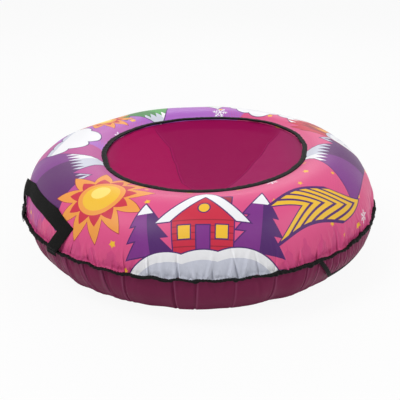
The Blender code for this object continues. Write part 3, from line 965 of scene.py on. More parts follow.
def stitch_tree():
    """Lays short threads along a line, at a pitch."""
    tree = bpy.data.node_groups.new("Stitch row", "GeometryNodeTree")
    numbers = [(name, "INPUT", "Float") for name in ("Pitch", "Stitch length", "Thread radius")]
    sockets = [("Geometry", "INPUT", "Geometry"), *numbers, ("Thread", "INPUT", "Material")]
    for name, way, kind in (*sockets, ("Geometry", "OUTPUT", "Geometry")):
        tree.interface.new_socket(name, in_out=way, socket_type="NodeSocket" + kind)
    kinds = {
        "given": "NodeGroupInput",
        "result": "NodeGroupOutput",
        "line": "GeometryNodeMeshToCurve",
        "spaced": "GeometryNodeResampleCurve",
        "bead": "GeometryNodeMeshUVSphere",
        "shaped": "GeometryNodeTransform",
        "tangent": "GeometryNodeInputTangent",
        "aimed": "FunctionNodeAlignRotationToVector",
        "laid": "GeometryNodeInstanceOnPoints",
        "real": "GeometryNodeRealizeInstances",
        "smooth": "GeometryNodeSetShadeSmooth",
        "finish": "GeometryNodeSetMaterial",
        "half": "ShaderNodeMath",
        "size": "ShaderNodeCombineXYZ",
    }
    nodes = {name: tree.nodes.new(kind) for name, kind in kinds.items()}
    nodes["spaced"].mode = "LENGTH"
    nodes["aimed"].axis = "Z"
    nodes["half"].operation = "MULTIPLY"
    nodes["half"].inputs[1].default_value = 0.5
    for name, value in (("Segments", 6), ("Rings", 4), ("Radius", 1.0)):
        nodes["bead"].inputs[name].default_value = value
    links = [
        ("given", "Geometry", "line", 0),
        ("line", 0, "spaced", "Curve"),
        ("given", "Pitch", "spaced", "Length"),
        ("given", "Stitch length", "half", 0),
        ("given", "Thread radius", "size", 0),
        ("given", "Thread radius", "size", 1),
        ("half", 0, "size", 2),
        ("bead", 0, "shaped", "Geometry"),
        ("size", 0, "shaped", "Scale"),
        ("tangent", 0, "aimed", "Vector"),
        ("spaced", 0, "laid", "Points"),
        ("shaped", 0, "laid", "Instance"),
        ("aimed", 0, "laid", "Rotation"),
        ("laid", 0, "real", 0),
        ("real", 0, "smooth", 0),
        ("smooth", 0, "finish", 0),
        ("given", "Thread", "finish", "Material"),
        ("finish", 0, "result", 0),
    ]
    for source, output, target, socket in links:
        tree.links.new(nodes[source].outputs[output], nodes[target].inputs[socket])
    return tree


def sew(name, lines, pitch, body, closed=False, radius=thread_radius):
    """Rows of stitches along lines of points, as one piece."""
    points, edges = [], []
    for line in lines:
        first, count = len(points), len(line)
        points += [tuple(point) for point in line]
        edges += [(first + i, first + i + 1) for i in range(count - 1)]
        if closed:
            edges.append((first + count - 1, first))
    guide = bpy.data.meshes.new(name)
    guide.from_pydata(points, edges, [])
    thing = add_object(name, guide)
    rows = thing.modifiers.new("Stitches", "NODES")
    rows.node_group = stitches
    length = pitch * stitch_share
    values = {"Pitch": pitch, "Stitch length": length, "Thread radius": radius, "Thread": thread}
    for socket in stitches.interface.items_tree:
        if socket.name in values:
            rows[socket.identifier] = values[socket.name]
    evaluated = thing.evaluated_get(bpy.context.evaluated_depsgraph_get())
    mesh = bpy.data.meshes.new_from_object(evaluated)
    thing.modifiers.clear()
    thing.data = mesh
    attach(thing, body)
    return thing


# Cover


def top_line():
    """The top cover's section, from inside the seat's seam to its edge at the tube's seam."""
    share = np.linspace(0, 1, 24)
    start = np.array([[seat_seam_radius - 0.0055, seat_seam_height + 0.0002]])
    radius = seat_seam_radius + (crest_radius - seat_seam_radius) * share
    height = seat_seam_height + (crest_height - seat_seam_height) * np.sin(np.linspace(0, math.pi / 2, 24))
    edge = (shell_radius, seam_height + seam_flange)
    side = swell((crest_radius, crest_height), edge, crest_squareness, 120)
    flange = np.array([[flange_edge_radius, seam_height + seam_flange]])
    return np.concatenate([start, np.stack([radius, height], axis=1), side[1:], flange])


def bottom_line():
    """The base's section, from its edge at the tube's seam to the middle of the underside."""
    flange = np.array([[flange_edge_radius, seam_height - seam_flange]])
    edge = (shell_radius, seam_height - seam_flange)
    side = swell((base_flat_radius, 0.0), edge, base_squareness, 120)[::-1]
    return np.concatenate([flange, side, [[0.0, 0.0]]])


top_reach = Line(top_line()).reach
seam_on_top = top_reach[-2]
pattern_radius = float(seat_seam_radius + seam_on_top - top_reach[1])


def fold_table(seed, places, depth, width, reach, drift):
    """Folds round the seam: azimuth, depth, half width, reach from the seam, slant."""
    dice = np.random.default_rng(seed)
    ranges = (depth, width, reach, (-drift, drift))
    return [(place, *(dice.uniform(*limits) for limits in ranges)) for place in places]


def strewn(seed, spacing, start=0.0, end=360.0):
    """Azimuths at an uneven spacing, in radians."""
    dice = np.random.default_rng(seed)
    places = []
    angle = start + dice.uniform(0.2, 0.8) * spacing
    while angle < end:
        places.append(math.radians(angle))
        angle += dice.uniform(0.45, 1.55) * spacing
    return places


def fold_relief(angle, drop, folds, shoulder, held=0.15):
    """Height of all folds: each a crease with a low roll on either side, held at full size for a
    share of its reach."""
    total = np.zeros(np.broadcast(angle, drop).shape)
    for place, depth, width, reach, drift in folds:
        across = turn_between(angle - drift * drop / shell_radius, place) * shell_radius / width
        near = np.exp(-(across**2))
        rolls = np.exp(-((np.abs(across) - 1.9) ** 2) / 1.1)
        total += depth * (shoulder * rolls - near) * (1 - smooth_share(drop, held * reach, reach))
    return total


def keep_vector(thing, name, domain, *parts):
    """Writes a vector at each point or corner, for a material to read."""
    layer = thing.data.attributes.new(name, "FLOAT_VECTOR", domain)
    layer.data.foreach_set("vector", np.stack(parts, axis=-1).astype(np.float32).ravel())


def seam_places(seed):
    """Azimuths of the gathers at the seam: those seen in front, then an uneven row behind."""
    return [math.radians(270 + turn) for turn in front_pleats] + strewn(seed, 6.2, 345, 360 + 196)


def keep_folds(thing, columns, drop, folds, held):
    """Keeps at each face's corners how far they lie across the fold nearest to the face, in
    metres, and how strong and how deep that fold still is there, of 1. Folds lap away from the
    front."""
    mesh = thing.data
    corners = corner_points(mesh)
    sizes = np.empty(len(mesh.polygons), np.int32)
    mesh.polygons.foreach_get("loop_total", sizes)
    heads = corners[np.cumsum(sizes) - sizes]
    place, depth, _, reach, drift = np.array(folds).T
    row = np.minimum(heads // columns, len(drop) - 2)
    slant = drift * (drop[row] + drop[row + 1])[:, None] / 2 / shell_radius
    middle = (heads % columns + 0.5)[:, None] * math.tau / columns
    nearest = np.repeat(np.argmin(np.abs(turn_between(middle - slant, place)), axis=1), sizes)
    fall = drop[np.minimum(corners // columns, len(drop) - 1)]
    angle = corners % columns * math.tau / columns - drift[nearest] * fall / shell_radius
    across = turn_between(angle, place[nearest]) * shell_radius
    lap = np.where(turn_between(place[nearest], math.radians(262)) < 0, -1.0, 1.0)
    left = 1 - smooth_share(fall, held * reach[nearest], reach[nearest])
    share = np.sqrt(depth[nearest] / depth.max())
    keep_vector(thing, "folds", "CORNER", across * lap, share * left, share**2 * left)


def window(angle, middle, half_width, soft):
    """1 away from an azimuth, and 0 within a half width of it, in metres along the seam."""
    away = np.abs(turn_between(angle, middle)) * shell_radius
    return smooth_share(away, half_width, half_width + soft)


def strap_window(angle, drop):
    """0 under the handles, up to where their webbing lies clear of the seam's folds."""
    clear = np.ones(np.broadcast(angle, drop).shape)
    for middle in handle_angles:
        near = window(angle, middle, handle_spread * 0.72, 0.02)
        clear = np.minimum(clear, np.maximum(near, smooth_share(drop, 0.115, 0.135)))
    return clear


def dress_top(material):
    rows, columns = 35, 1300
    line = Line(top_line())
    body = top_reach[1] + (seam_on_top - top_reach[1]) * np.linspace(0, 1, rows - 3) ** 0.75
    reach = np.concatenate([[0.0], body, [seam_on_top + 0.0035, line.reach[-1]]])[:, None]
    angle = turns(columns)[None, :]
    drop = seam_on_top - reach
    below = np.maximum(drop, 0)
    radius, height, out_radius, out_height = line.at(reach + 0 * angle)
    at_seam = np.exp(-np.abs(drop) / 0.020)
    crease_sizes = {"depth": (0.0010, 0.0030), "width": (0.0028, 0.0052), "reach": (0.03, 0.085)}
    ridge_sizes = {"depth": (-0.0056, -0.0022), "width": (0.0026, 0.0050), "reach": (0.025, 0.080)}
    creases = fold_table(21, strewn(22, 6.0), **crease_sizes, drift=0.35)
    ridges = fold_table(23, strewn(24, 4.6), **ridge_sizes, drift=0.35)
    relief = fold_relief(angle, below, creases + ridges, 0.30)
    billow = 0.0020 * wander(angle, 25, 6, 30) * np.exp(-below / 0.06)
    even_front = 1 - 0.8 * turned_bell(angle, 272, 60) * smooth_share(drop, 0.08, 0.15)
    broad = 0.0012 * wander(angle, 26, 3, 9) * even_front
    relief = (relief + billow) * strap_window(angle, drop) + broad * smooth_share(drop, 0.0, 0.08)
    relief *= smooth_share(reach, top_reach[1], top_reach[1] + 0.05) * (1 - smooth_share(-drop, 0.0, 0.003))
    radius = radius + out_radius * relief + at_seam * seam_radius_wave(angle)
    height = height + out_height * relief + at_seam * seam_height_wave(angle)
    points = leaned(around(radius, angle, height))
    flat = around(seat_seam_radius + reach - top_reach[1] + 0 * angle, angle, 0)[..., :2]
    faces = grid_faces(len(reach), columns, round_columns=True)
    thing = place_mesh("top_cloth", points.reshape(-1, 3), faces, material, "cover")
    lay_pattern(thing, flat.reshape(-1, 2))
    keep_folds(thing, columns, below[:, 0], creases, 0.15)
    thicken(thing, cover_wall)
    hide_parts("top_cover")


def beside_route(x, y, route):
    """Distance from a route of straight runs, below 0 on its right-hand side."""
    side = np.full(np.shape(x), 1.0)
    nearest = np.full(np.shape(x), 9.0)
    for start, end in zip(route, route[1:]):
        run_x, run_y = end[0] - start[0], end[1] - start[1]
        off_x, off_y = x - start[0], y - start[1]
        along = np.clip((off_x * run_x + off_y * run_y) / (run_x**2 + run_y**2), 0, 1)
        off_x, off_y = off_x - along * run_x, off_y - along * run_y
        away = np.hypot(off_x, off_y)
        closer = away < nearest
        side = np.where(closer, np.sign(run_x * off_y - run_y * off_x), side)
        nearest = np.where(closer, away, nearest)
    return side * nearest


def seat_share(x, y):
    """0 in the seat's middle, and 1 where the seat comes to its seam."""
    return np.clip(np.hypot(x, y) / (seat_seam_radius - seam_allowance), 0, 1)


def seat_marks(x, y):
    """Signed distances from the two creases, above 0 between them, and how much they show."""
    left = beside_route(x, y, seat_folds["left"])
    right = -beside_route(x, y, seat_folds["right"])
    return left, right, 1 - smooth_share(seat_share(x, y), 0.86, 1.0)


def seat_height(x, y):
    """The seat's dish under the seam's level, with the folds that the rider's weight leaves."""
    sunk = seat_seam_height - cover_wall - sewn_gap - seat_depth * (1 - seat_share(x, y) ** 2)
    left, right, shown = seat_marks(x, y)
    for away in (left, right):
        crease = 0.0016 * np.exp(-((away / 0.0045) ** 2))
        slope = 0.0034 * smooth_share(away, -0.03, 0.05)
        sunk = sunk + shown * (crease - slope)
    return sunk


def dress_seat(material):
    rings, columns = 96, 360
    outer = seat_seam_radius + 0.003
    radius = np.linspace(outer / rings, outer, rings)[:, None]
    angle = turns(columns)[None, :]
    x, y = radius * np.cos(angle), radius * np.sin(angle)
    height = seat_height(x, y)
    height = height + 0.0006 * wander(angle, 31, 3, 14) * smooth_share(radius, 0.10, 0.24)
    height = np.minimum(height, seat_seam_height - cover_wall - sewn_gap)
    points = np.stack([x, y, height], axis=-1).reshape(-1, 3)
    middle = np.array([[0.0, 0.0, seat_height(np.array(0.0), np.array(0.0))]])
    points = leaned(np.concatenate([points, middle]))
    faces = grid_faces(rings, columns, round_columns=True)
    last = rings * columns
    faces += [(last, column, (column + 1) % columns) for column in range(columns)]
    thing = place_mesh("seat_cloth_panel", points, faces, material, "cover")
    marks = seat_marks(np.append(x.ravel(), 0.0), np.append(y.ravel(), 0.0))
    keep_vector(thing, "creases", "POINT", *marks)
    thicken(thing, cover_wall)
    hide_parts("seat_panel")


def round_tape(name, points, rows, pitch, material):
    """A tape that runs all round, with its rows of stitches."""
    thing = closed_band(name, points, material, "cover", ends_meet=True)
    sew(name + "_stitches", rows, pitch, "cover", closed=True)
    return thing


def dress_seat_tape(material):
    """Flat tape over the seat's seam, a little uneven in width and height."""
    angle, turn = turns(720), turns(16)
    front = turned_bell(angle, 282, 48)
    broader = 0.30 * turned_bell(angle, 160, 35) - 0.12 * turned_bell(angle, 80, 35) + 0.28 * front
    half = seat_tape_width / 2 * (1 + broader + 0.07 * wander(angle, 41, 20, 90))
    tall = seat_tape_height * 0.80 * (1 + 0.30 * front + 0.03 * wander(angle, 42, 40, 160))
    middle = seat_seam_radius + 0.0006 * wander(angle, 43, 8, 30)
    foot = seat_seam_height + sewn_gap
    radius = middle[:, None] + half[:, None] * squared_off(np.cos(turn), 0.6)
    height = foot + tall[:, None] * (1 + squared_off(np.sin(turn), 0.8))
    points = leaned(around(radius, angle[:, None], height))
    top = foot + 2 * tall * 0.93
    rows = [leaned(around(middle + side * half * 0.62, angle, top)) for side in (-1, 1)]
    thing = round_tape("seat_tape", points, rows, seat_stitch_pitch, material)
    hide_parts("seat_binding")


def calmed(folds):
    """The same folds with half their slant, and lower and more upright still in front."""
    calmer = []
    for place, depth, width, reach, drift in folds:
        calm = 1 - 0.70 * turned_bell(place, 278, 30)
        calmer.append((place, depth * calm, width * calm**0.3, reach, drift * calm * 0.5))
    return calmer


def dress_bottom(material):
    """The gathered base, closed across the underside, with the slot behind the flap."""
    side_rows, columns = 25, 1320
    line = Line(bottom_line())
    seam = line.reach[1]
    turn_in = line.reach[-2]
    upper = np.array([0.0, seam - 0.004, seam])
    levels = (slot_top_height, slot_bottom_height)
    tops = [np.interp(-level, -line.points[1:-1, 1], line.reach[1:-1]) for level in levels]
    first = np.linspace(seam, tops[0], 4)[1:]
    through = np.linspace(tops[0], tops[1], 4)[1:]
    rest = np.linspace(tops[1], turn_in, side_rows - 6)[1:]
    inner = turn_in + (line.reach[-1] - turn_in) * np.array([0.10, 0.28, 0.55, 0.85, 0.985])
    reach = np.concatenate([upper, first, through, rest, inner])[:, None]
    angle = turns(columns)[None, :]
    drop = reach - seam
    below = np.maximum(drop, 0)
    radius, height, out_radius, out_height = line.at(reach + 0 * angle)
    at_seam = np.exp(-np.abs(drop) / 0.015)
    pleat_sizes = {"depth": (0.0030, 0.0058), "width": (0.0026, 0.0042), "reach": (0.17, 0.24)}
    small_sizes = {"depth": (0.0008, 0.0022), "width": (0.0035, 0.0070), "reach": (0.03, 0.08)}
    pleats = calmed(fold_table(53, seam_places(52), **pleat_sizes, drift=0.25))
    small = fold_table(54, strewn(55, 4.5), **small_sizes, drift=0.30)
    relief = fold_relief(angle, below, pleats, 0.30, 0.6)
    relief = relief + fold_relief(angle, below, small, 0.35)
    billow = 0.0012 * wander(angle, 56, 8, 40)
    flap_clear = window(angle, flap_angle, flap_top_width / 2 * 0.96, 0.012)
    flap_clear = np.maximum(flap_clear, smooth_share(drop, flap_drop + 0.004, flap_drop + 0.03))
    relief = (relief + billow) * flap_clear * smooth_share(height, 0.0, 0.030)
    relief = relief * (1 - smooth_share(-drop, 0.0, 0.003))
    radius = radius + out_radius * relief + at_seam * seam_radius_wave(angle)
    height = np.maximum(height + out_height * relief + at_seam * seam_height_wave(angle), 0.0)
    points = np.concatenate([around(radius, angle, height).reshape(-1, 3), [[0.0, 0.0, 0.0]]])
    low_row = len(upper) + len(first) - 1
    high_row = low_row + len(through)
    half_turn = slot_width / 2 / shell_radius

    def in_slot(row, column):
        middle = (column + 0.5) * math.tau / columns
        return low_row <= row < high_row and abs(turn_between(middle, flap_angle)) < half_turn

    faces = grid_faces(len(reach), columns, round_columns=True, skip=in_slot)
    last = len(reach) * columns
    rim = last - columns
    faces += [(last, rim + (column + 1) % columns, rim + column) for column in range(columns)]
    thing = place_mesh("base_cloth_pan", points, faces, material, "cover")
    keep_folds(thing, columns, below[:, 0], pleats, 0.6)
    thicken(thing, cover_wall)
    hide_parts("bottom_cover")


def seam_knots(angle):
    """Where the stitching draws the seam's tape together."""
    dice = np.random.default_rng(61)
    knots = np.zeros(len(angle))
    for place in seam_places(60):
        size, length = dice.uniform(0.30, 1.0), dice.uniform(0.0030, 0.0060)
        away = turn_between(angle, place) * overall_radius / length
        knots += size * np.exp(-(away**2))
    return knots


def seam_twist(angle):
    """How far the seam's tape turns up: most at the left and the right front, and not at all
    under the handles' feet."""
    sides = turned_bell(angle, 326, 42) + 0.8 * turned_bell(angle, 208, 22)
    twisted = np.clip(wander(angle, 65, 8, 26) + 0.55 * sides, 0, 1.4) * (0.55 + 1.1 * sides)
    for handle in handle_angles:
        for end in (-1, 1):
            foot = handle + end * handle_spread / 2 / overall_radius
            twisted = twisted * window(angle, foot, webbing_width / 2 + 0.008, 0.012)
    return twisted


def dress_seam_tape(material):
    """Folded tape drawn up by its stitching: thicker at its knots, with fine cross folds, and
    broader upward where it turns up, over the flap too."""
    angle, turn = turns(2400), turns(14)
    knots, twisted = seam_knots(angle), seam_twist(angle)
    crinkle = wander(angle, 62, 150, 330, 26)
    fine = wander(angle, 63, 330, 600, 26)
    half = 0.0042 * (1 + 0.16 * knots + 0.04 * crinkle)
    clear = window(angle, flap_angle, flap_top_width / 2, 0.012)
    tall = 0.0018 * (1 + 0.13 * crinkle + 0.06 * fine) + 0.0016 * twisted + clear * 0.0028 * knots
    middle = overall_radius - 0.0047 + seam_radius_wave(angle) + 0.0003 * crinkle
    level = seam_height + seam_height_wave(angle) - 0.0014 * knots * clear + 0.0002 * fine
    level = level + 0.0016 * twisted * (1 - clear)
    ridges = 1 + 0.10 * crinkle[:, None] * np.cos(2 * turn)
    radius = middle[:, None] + half[:, None] * squared_off(np.cos(turn), 0.75)
    height = level[:, None] + tall[:, None] * squared_off(np.sin(turn), 0.85) * ridges
    points = around(radius, angle[:, None], height)
    rows = [around(middle - half * 0.35, angle, level + side * tall * 0.93) for side in (-1, 1)]
    thing = round_tape("seam_tape", points, rows, seam_stitch_pitch, material)
    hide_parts("seam_binding")


# Bands on the cover


def offset_line(points, distance):
    """The same line moved to its right-hand side, with mitred corners."""
    points = np.asarray(points, float)
    runs = np.diff(points, axis=0)
    runs /= np.linalg.norm(runs, axis=1)[:, None]
    arriving = np.concatenate([runs[:1], runs])
    leaving = np.concatenate([runs, runs[-1:]])
    side = np.stack([arriving[:, 1] + leaving[:, 1], -arriving[:, 0] - leaving[:, 0]], axis=1)
    side /= np.linalg.norm(side, axis=1)[:, None]
    reach = side[:, 0] * arriving[:, 1] - side[:, 1] * arriving[:, 0]
    return points + side * (distance / reach)[:, None]


def cut_level(path, distance):
    """The line moved to its right-hand side, with its ends level with the old ones."""
    moved = offset_line(path, distance)
    for end, near in ((0, 1), (-1, -2)):
        share = (path[end][1] - moved[end][1]) / (moved[near][1] - moved[end][1])
        moved[end] = moved[end] + (moved[near] - moved[end]) * share
    return moved


def divided(edges, step):
    """Two edges of a band, each divided alike so that no stretch is longer than a step."""
    left, right = edges
    stations = [(left[0], right[0])]
    for i in range(len(left) - 1):
        longest = max(math.dist(left[i], left[i + 1]), math.dist(right[i], right[i + 1]))
        pieces = max(1, math.ceil(longest / step))
        for piece in range(1, pieces + 1):
            share = piece / pieces
            stations.append(
                (left[i] + (left[i + 1] - left[i]) * share, right[i] + (right[i + 1] - right[i]) * share)
            )
    return np.array(stations)


def webbing_line():
    """The line that the webbing follows, up past the seam's tape and on over the cover, and how
    far along it the tape's top edge lies."""
    hem_top = seam_height + tape_half_height
    edge = (shell_radius, seam_height + cover_edge_rise)
    shell = swell((crest_radius, crest_height), edge, crest_squareness, 61)[::-1]
    off = offset_line(shell, -webbing_stand_off)
    touch = off[reach_along(off) >= webbing_touch]
    low = hem_top - tape_half_height * 2 - webbing_tail
    upright = np.linspace(low, hem_top, 8)
    hem = np.stack([np.full(8, overall_radius + webbing_tape_gap), upright], axis=1)
    return Line(np.concatenate([hem, touch]), outward=-1.0), hem_top - low


def flap_stand_off(drop):
    """How far the flap stands off the cover: least at its top, and clear of both fastener strips
    further down."""
    full = fastener_thickness * 2 + sewn_gap * 3
    share = np.clip(drop / flap_settle, 0, 1)
    return flap_top_gap + (full - flap_top_gap) * np.sin(share * math.pi / 2)


def placer(line, azimuth, start=0.0, stand_off=None):
    """Turns places on a band into points: along the seam, along the line and out of it."""

    def place(width, run, depth):
        radius, height, out_radius, out_height = line.at(start + run)
        off = depth + stand_off(run) if stand_off else depth
        return around(radius + out_radius * off, azimuth + width / overall_radius, height + out_height * off)

    return place


def cover_placer(stand_off):
    edge = (shell_radius, seam_height - cover_edge_rise)
    side = swell((base_flat_radius, 0.0), edge, base_squareness, 121)[::-1]
    return placer(Line(side), flap_angle, stand_off=stand_off)


def section_of(shares, half_thickness, roundness=0.6):
    """A flat oval: share across the band and depth about its middle."""
    turn = turns(shares)
    across = 0.5 + 0.5 * squared_off(np.cos(turn), roundness)
    return across, half_thickness * squared_off(np.sin(turn), 0.35)


def band(name, stations, section, place, material, body, lift=0.0):
    """A closed band: at each station the section lies between the band's two edges."""
    left, right = stations[:, 0], stations[:, 1]
    across, depth = section
    flat = left[:, None, :] + (right - left)[:, None, :] * across[None, :, None]
    points = place(flat[..., 0], flat[..., 1], depth[None, :] + lift)
    thing = closed_band(name, points, material, body)
    reach = reach_along((left + right) / 2)
    width = np.linalg.norm(right - left, axis=1)
    pattern = [across * width[:, None], reach[:, None] + 0 * across]
    lay_pattern(thing, np.stack(pattern, axis=-1).reshape(-1, 2))
    return thing


def dress_handle(side, azimuth, slack, material):
    """Webbing that lies on the cover, bulges at its rear bend and widens where it folds over at
    its front bend."""
    line, hem = webbing_line()
    place = placer(line, azimuth, hem)
    tail = webbing_tail + tape_half_height * 2
    path = [(share[0] * handle_spread, share[1] * handle_rise) for share in handle_path_shares]
    path = [(path[0][0], -tail)] + path + [(path[-1][0], -tail)]
    edges = [offset_line(path, across) for across in (-webbing_width / 2, webbing_width / 2)]
    edges[1][3] += fold_over
    stations = divided(edges, 0.0035)
    across, depth = section_of(26, webbing_thickness / 2, 0.8)
    centre = (stations[:, 0] + stations[:, 1]) / 2
    free = smooth_share(centre[:, 1], 0.018, 0.05)
    buckle = 0.0016 * free * (1 + np.sin(np.linspace(0, 23.0, len(stations)))) / 2
    rear_bend = path[6]
    off_bend = np.hypot(centre[:, 0] - rear_bend[0], centre[:, 1] - rear_bend[1])
    bulge = slack * free * np.exp(-((off_bend / 0.035) ** 2))
    crown = 0.0012 * free[:, None] * (1 - (2 * across[None, :] - 1) ** 2)
    lift = (webbing_thickness / 2 + buckle + bulge)[:, None] + crown
    thing = band(side + "_webbing", stations, (across, depth), place, material, None, lift)
    nodes = [f"{side}_handle_loop", f"{side}_handle_front_end", f"{side}_handle_rear_end"]
    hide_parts(*nodes)
    hinge = place(np.array(0.0), np.array(handle_hinge_rise), 0.0)
    low, high = (hinge[0], hinge[1], hinge[2] - 0.004), (hinge[0], hinge[1], hinge[2] + 0.006)
    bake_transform(thing)
    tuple(low)
    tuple(high)
    across_foot = np.linspace(-0.0145, 0.0145, 12)
    zigzag = 0.0006 * np.where(np.arange(12) % 2, 1, -1)
    rows = []
    for foot in (handle_spread / 2, -handle_spread / 2):
        for level in (-0.0055, -0.0040, -0.0025, 0.0015, 0.0035):
            rows.append(place(across_foot + foot, level + zigzag, webbing_thickness + 0.0002))
    bars = sew(side + "_webbing_bartacks", rows, bartack_pitch, "cover", radius=bartack_thread_radius)
    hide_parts(f"{side}_handle_front_bartack", f"{side}_handle_rear_bartack")


def flap_outline():
    """The flap's open outline, in metres along the seam and down the base's side."""
    top, low = flap_top_width / 2, flap_bottom_width / 2
    start = sewn_gap + tape_half_height - cover_edge_rise
    return np.array([(-top, start), (-low, flap_drop), (low, flap_drop), (top, start)])


def dress_flap_cloth(outline, place, cloth):
    edge = cut_level(outline, 0.001)
    rows, columns = 22, 90
    share = np.linspace(0, 1, rows)[:, None]
    spread = np.linspace(-1, 1, columns)[None, :]
    inward = np.sin(share * math.pi)
    held = 1 - spread**4
    width = -(edge[0][0] + (edge[1][0] - edge[0][0]) * share) * spread
    drop = edge[0][1] + (edge[1][1] - edge[0][1]) * share + 0 * spread
    ripple = 2 + np.sin(spread * 21 + 3 * share) + np.sin(spread * 47 + 1.0)
    off = np.stack([width - start - slant * (share - 0.5) for start, slant in flap_folds])
    nearest = np.argmin(np.abs(off), axis=0)
    across = np.take_along_axis(off, nearest[None], axis=0)[0]
    strong = np.exp(-((across / 0.010) ** 2)) * inward**0.5
    lift = 0.0008 + (0.0006 * ripple + 0.0014 * strong) * inward * held
    points = place(width, drop, lift).reshape(-1, 3)
    flap = place_mesh("flap_cloth", points, grid_faces(rows, columns), cloth, None)
    keep_vector(flap, "folds", "POINT", -across, strong, strong)
    thicken(flap, cover_wall)
    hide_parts("access_flap")
    return flap


def dress_flap(cloth, tape, hooks, loops):
    """The access flap with its tape and stitches, and the two strips that hold it shut."""
    place = cover_placer(flap_stand_off)
    outline = flap_outline()
    flap = dress_flap_cloth(outline, place, cloth)
    inner = cut_level(outline, flap_binding_width)
    stations = divided((outline, inner), 0.004)
    border = band("flap_tape", stations, section_of(18, 0.0015), place, tape, None, lift=0.0006)
    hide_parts("flap_binding")
    rise = place(np.array(0.0), np.array(0.002), 0.0)
    lower = place(np.array(0.0), np.array(0.012), 0.0)
    for thing in (flap, border):
        tuple(rise)
        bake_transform(thing)
    sewn = cut_level(outline, flap_binding_width * 0.75)
    along, down = divided((sewn, sewn), 0.004)[2:-2, 0].T
    sew("flap_stitches", [place(along, down, 0.0023)], flap_stitch_pitch, "flap")

    half_length = fastener_length / 2
    levels = (fastener_drop, fastener_drop + fastener_width)
    strip = divided([np.array([(-half_length, drop), (half_length, drop)]) for drop in levels], 0.005)
    section = section_of(14, fastener_thickness / 2, 0.5)
    hook = band("hook_tape", strip, section, place, hooks, "flap", lift=-0.0011)
    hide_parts("flap_hook_strip")
    near = cover_placer(lambda drop: sewn_gap + 0 * drop)
    loop = band("loop_tape", strip, section, near, loops, "cover", lift=0.0008)
    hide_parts("slot_loop_strip")


# Inside


def simple_finish(name, tone, roughness, metallic=0.0, scale=90.0, contrast=0.25):
    material, tree, shader = new_finish(name, roughness, Metallic=metallic)
    place = place_of(tree)
    cloudy = noise(place, scale, 3.0)
    joined(shader.inputs["Base Color"], between(cloudy, tone, 1 - contrast, 1 + contrast))
    joined(shader.inputs["Roughness"], cloudy * 0.15 + (roughness - 0.07))
    bumped(shader, noise(place, scale * 8, 2.0), 0.15, 0.0002)
    return material


def finish_inside():
    """Materials of the inner tube and its valve, which keep their own shape."""
    rubber = simple_finish("butyl_rubber", butyl_black, 0.55)
    brass = simple_finish("brass", brass_yellow, 0.28, metallic=1.0, scale=300.0, contrast=0.12)
    steel = simple_finish("steel", steel_grey, 0.30, metallic=1.0, scale=300.0, contrast=0.10)
    plastic = simple_finish("black_plastic", plastic_black, 0.45, scale=200.0, contrast=0.2)
    seal = simple_finish("seal_rubber", seal_black, 0.65)
    finishes = {
        "inner_tube": rubber,
        "valve_base": rubber,
        "valve_stem": brass,
        "valve_core": brass,
        "valve_pin": steel,
        "valve_cap": plastic,
        "valve_cap_seal": seal,
    }
    for node, material in finishes.items():
        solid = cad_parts[node]
        solid.data.materials.clear()
        solid.data.materials.append(material)


# Studio


def light_panel(name, place, size, power):
    lamp = bpy.data.lights.new(name, "AREA")
    lamp.shape = "RECTANGLE"
    lamp.size, lamp.size_y = size
    lamp.energy = power
    thing = add_object(name, lamp)
    thing.location = place
    thing.rotation_euler = (Vector(panels_aim) - Vector(place)).to_track_quat("-Z", "Y").to_euler()


def seen_share(tree):
    """1 for rays from the camera and for those that a gloss or glass sends on."""
    rays = tree.nodes.new("ShaderNodeLightPath").outputs
    camera, gloss, glass = (Value(rays[f"Is {kind} Ray"]) for kind in ("Camera", "Glossy", "Transmission"))
    return either(either(camera, gloss), glass)


def floor_finish():
    """Matt grey for the light of the scene, and next to white where it is seen."""
    material = bpy.data.materials.new("floor")
    material.use_nodes = True
    tree = material.node_tree
    tree.nodes.clear()
    matt = tree.nodes.new("ShaderNodeBsdfDiffuse")
    matt.inputs["Color"].default_value = (0.72, 0.72, 0.72, 1)
    glow = tree.nodes.new("ShaderNodeEmission")
    glow.inputs["Color"].default_value = (1, 1, 1, 1)
    shaders = (Value(matt.outputs[0]), Value(glow.outputs[0]))
    mixed = added("ShaderNodeMixShader", seen_share(tree) * 0.92, *shaders)
    out = tree.nodes.new("ShaderNodeOutputMaterial")
    tree.links.new(mixed.outputs[0], out.inputs["Surface"])
    return material


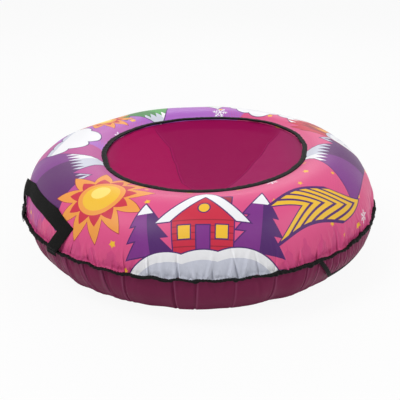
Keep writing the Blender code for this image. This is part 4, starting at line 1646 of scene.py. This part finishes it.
def set_stage():
    mesh = bpy.data.meshes.new("floor")
    quarters = ((-1, -1), (1, -1), (1, 1), (-1, 1))
    corners = [(x * floor_reach, y * floor_reach, floor_level) for x, y in quarters]
    mesh.from_pydata(corners, [], [(0, 1, 2, 3)])
    floor = add_object("floor", mesh)
    mesh.materials.append(floor_finish())
    floor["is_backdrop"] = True

    world = bpy.data.worlds.new("studio")
    bpy.context.scene.world = world
    world.use_nodes = True
    back = world.node_tree.nodes["Background"]
    back.inputs["Color"].default_value = (1, 1, 1, 1)
    joined(back.inputs["Strength"], seen_share(world.node_tree) * (1 - world_light) + world_light)
    light_panel("key panel", place=(-1.5, -1.2, 2.7), size=(1.3, 1.3), power=52)
    light_panel("fill panel", place=(2.2, -0.9, 1.7), size=(1.6, 1.2), power=22)
    light_panel("back panel", place=(0.3, 2.4, 2.0), size=(2.2, 1.2), power=22)
    bpy.context.scene.view_settings.view_transform = "Standard"


def set_camera():
    """The camera that the photo was taken with, as near as it could be found."""
    lens = bpy.data.cameras.new("photo camera")
    lens.sensor_width = 36
    lens.lens = camera_focal_pixels * lens.sensor_width / photo_pixels
    lens.shift_x = (photo_pixels / 2 - photo_middle[0]) / photo_pixels
    lens.shift_y = (photo_middle[1] - photo_pixels / 2) / photo_pixels
    camera = add_object("photo camera", lens)
    camera.location = camera_place
    camera.rotation_euler = (math.pi / 2 - camera_tilt, 0, 0)
    bpy.context.scene.camera = camera


set_camera()
set_stage()
thread = simple_finish("black_thread", thread_black, 0.6)
stitches = stitch_tree()
print_finish = printed_cloth()
seat_finish = seat_cloth()
base_finish = base_cloth()
tape_finish = tape_cloth("black_tape", tape_black, 0.0011)
webbing_finish = webbing_cloth()
hook_finish = simple_finish("hook_fastener", hook_black, 0.6, scale=700.0, contrast=0.5)
loop_finish = simple_finish("loop_fastener", loop_black, 0.9, scale=500.0, contrast=0.5)

dress_top(print_finish)
dress_seat(seat_finish)
dress_seat_tape(tape_finish)
dress_bottom(base_finish)
dress_seam_tape(tape_finish)
for side, azimuth, slack in zip(("left", "right"), handle_angles, handle_slacks):
    dress_handle(side, azimuth, slack, webbing_finish)
dress_flap(base_finish, tape_finish, hook_finish, loop_finish)
finish_inside()

boxes = {"cad": cad_box, "visual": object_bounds()}
{name: [list(corner) for corner in box] for name, box in boxes.items()}
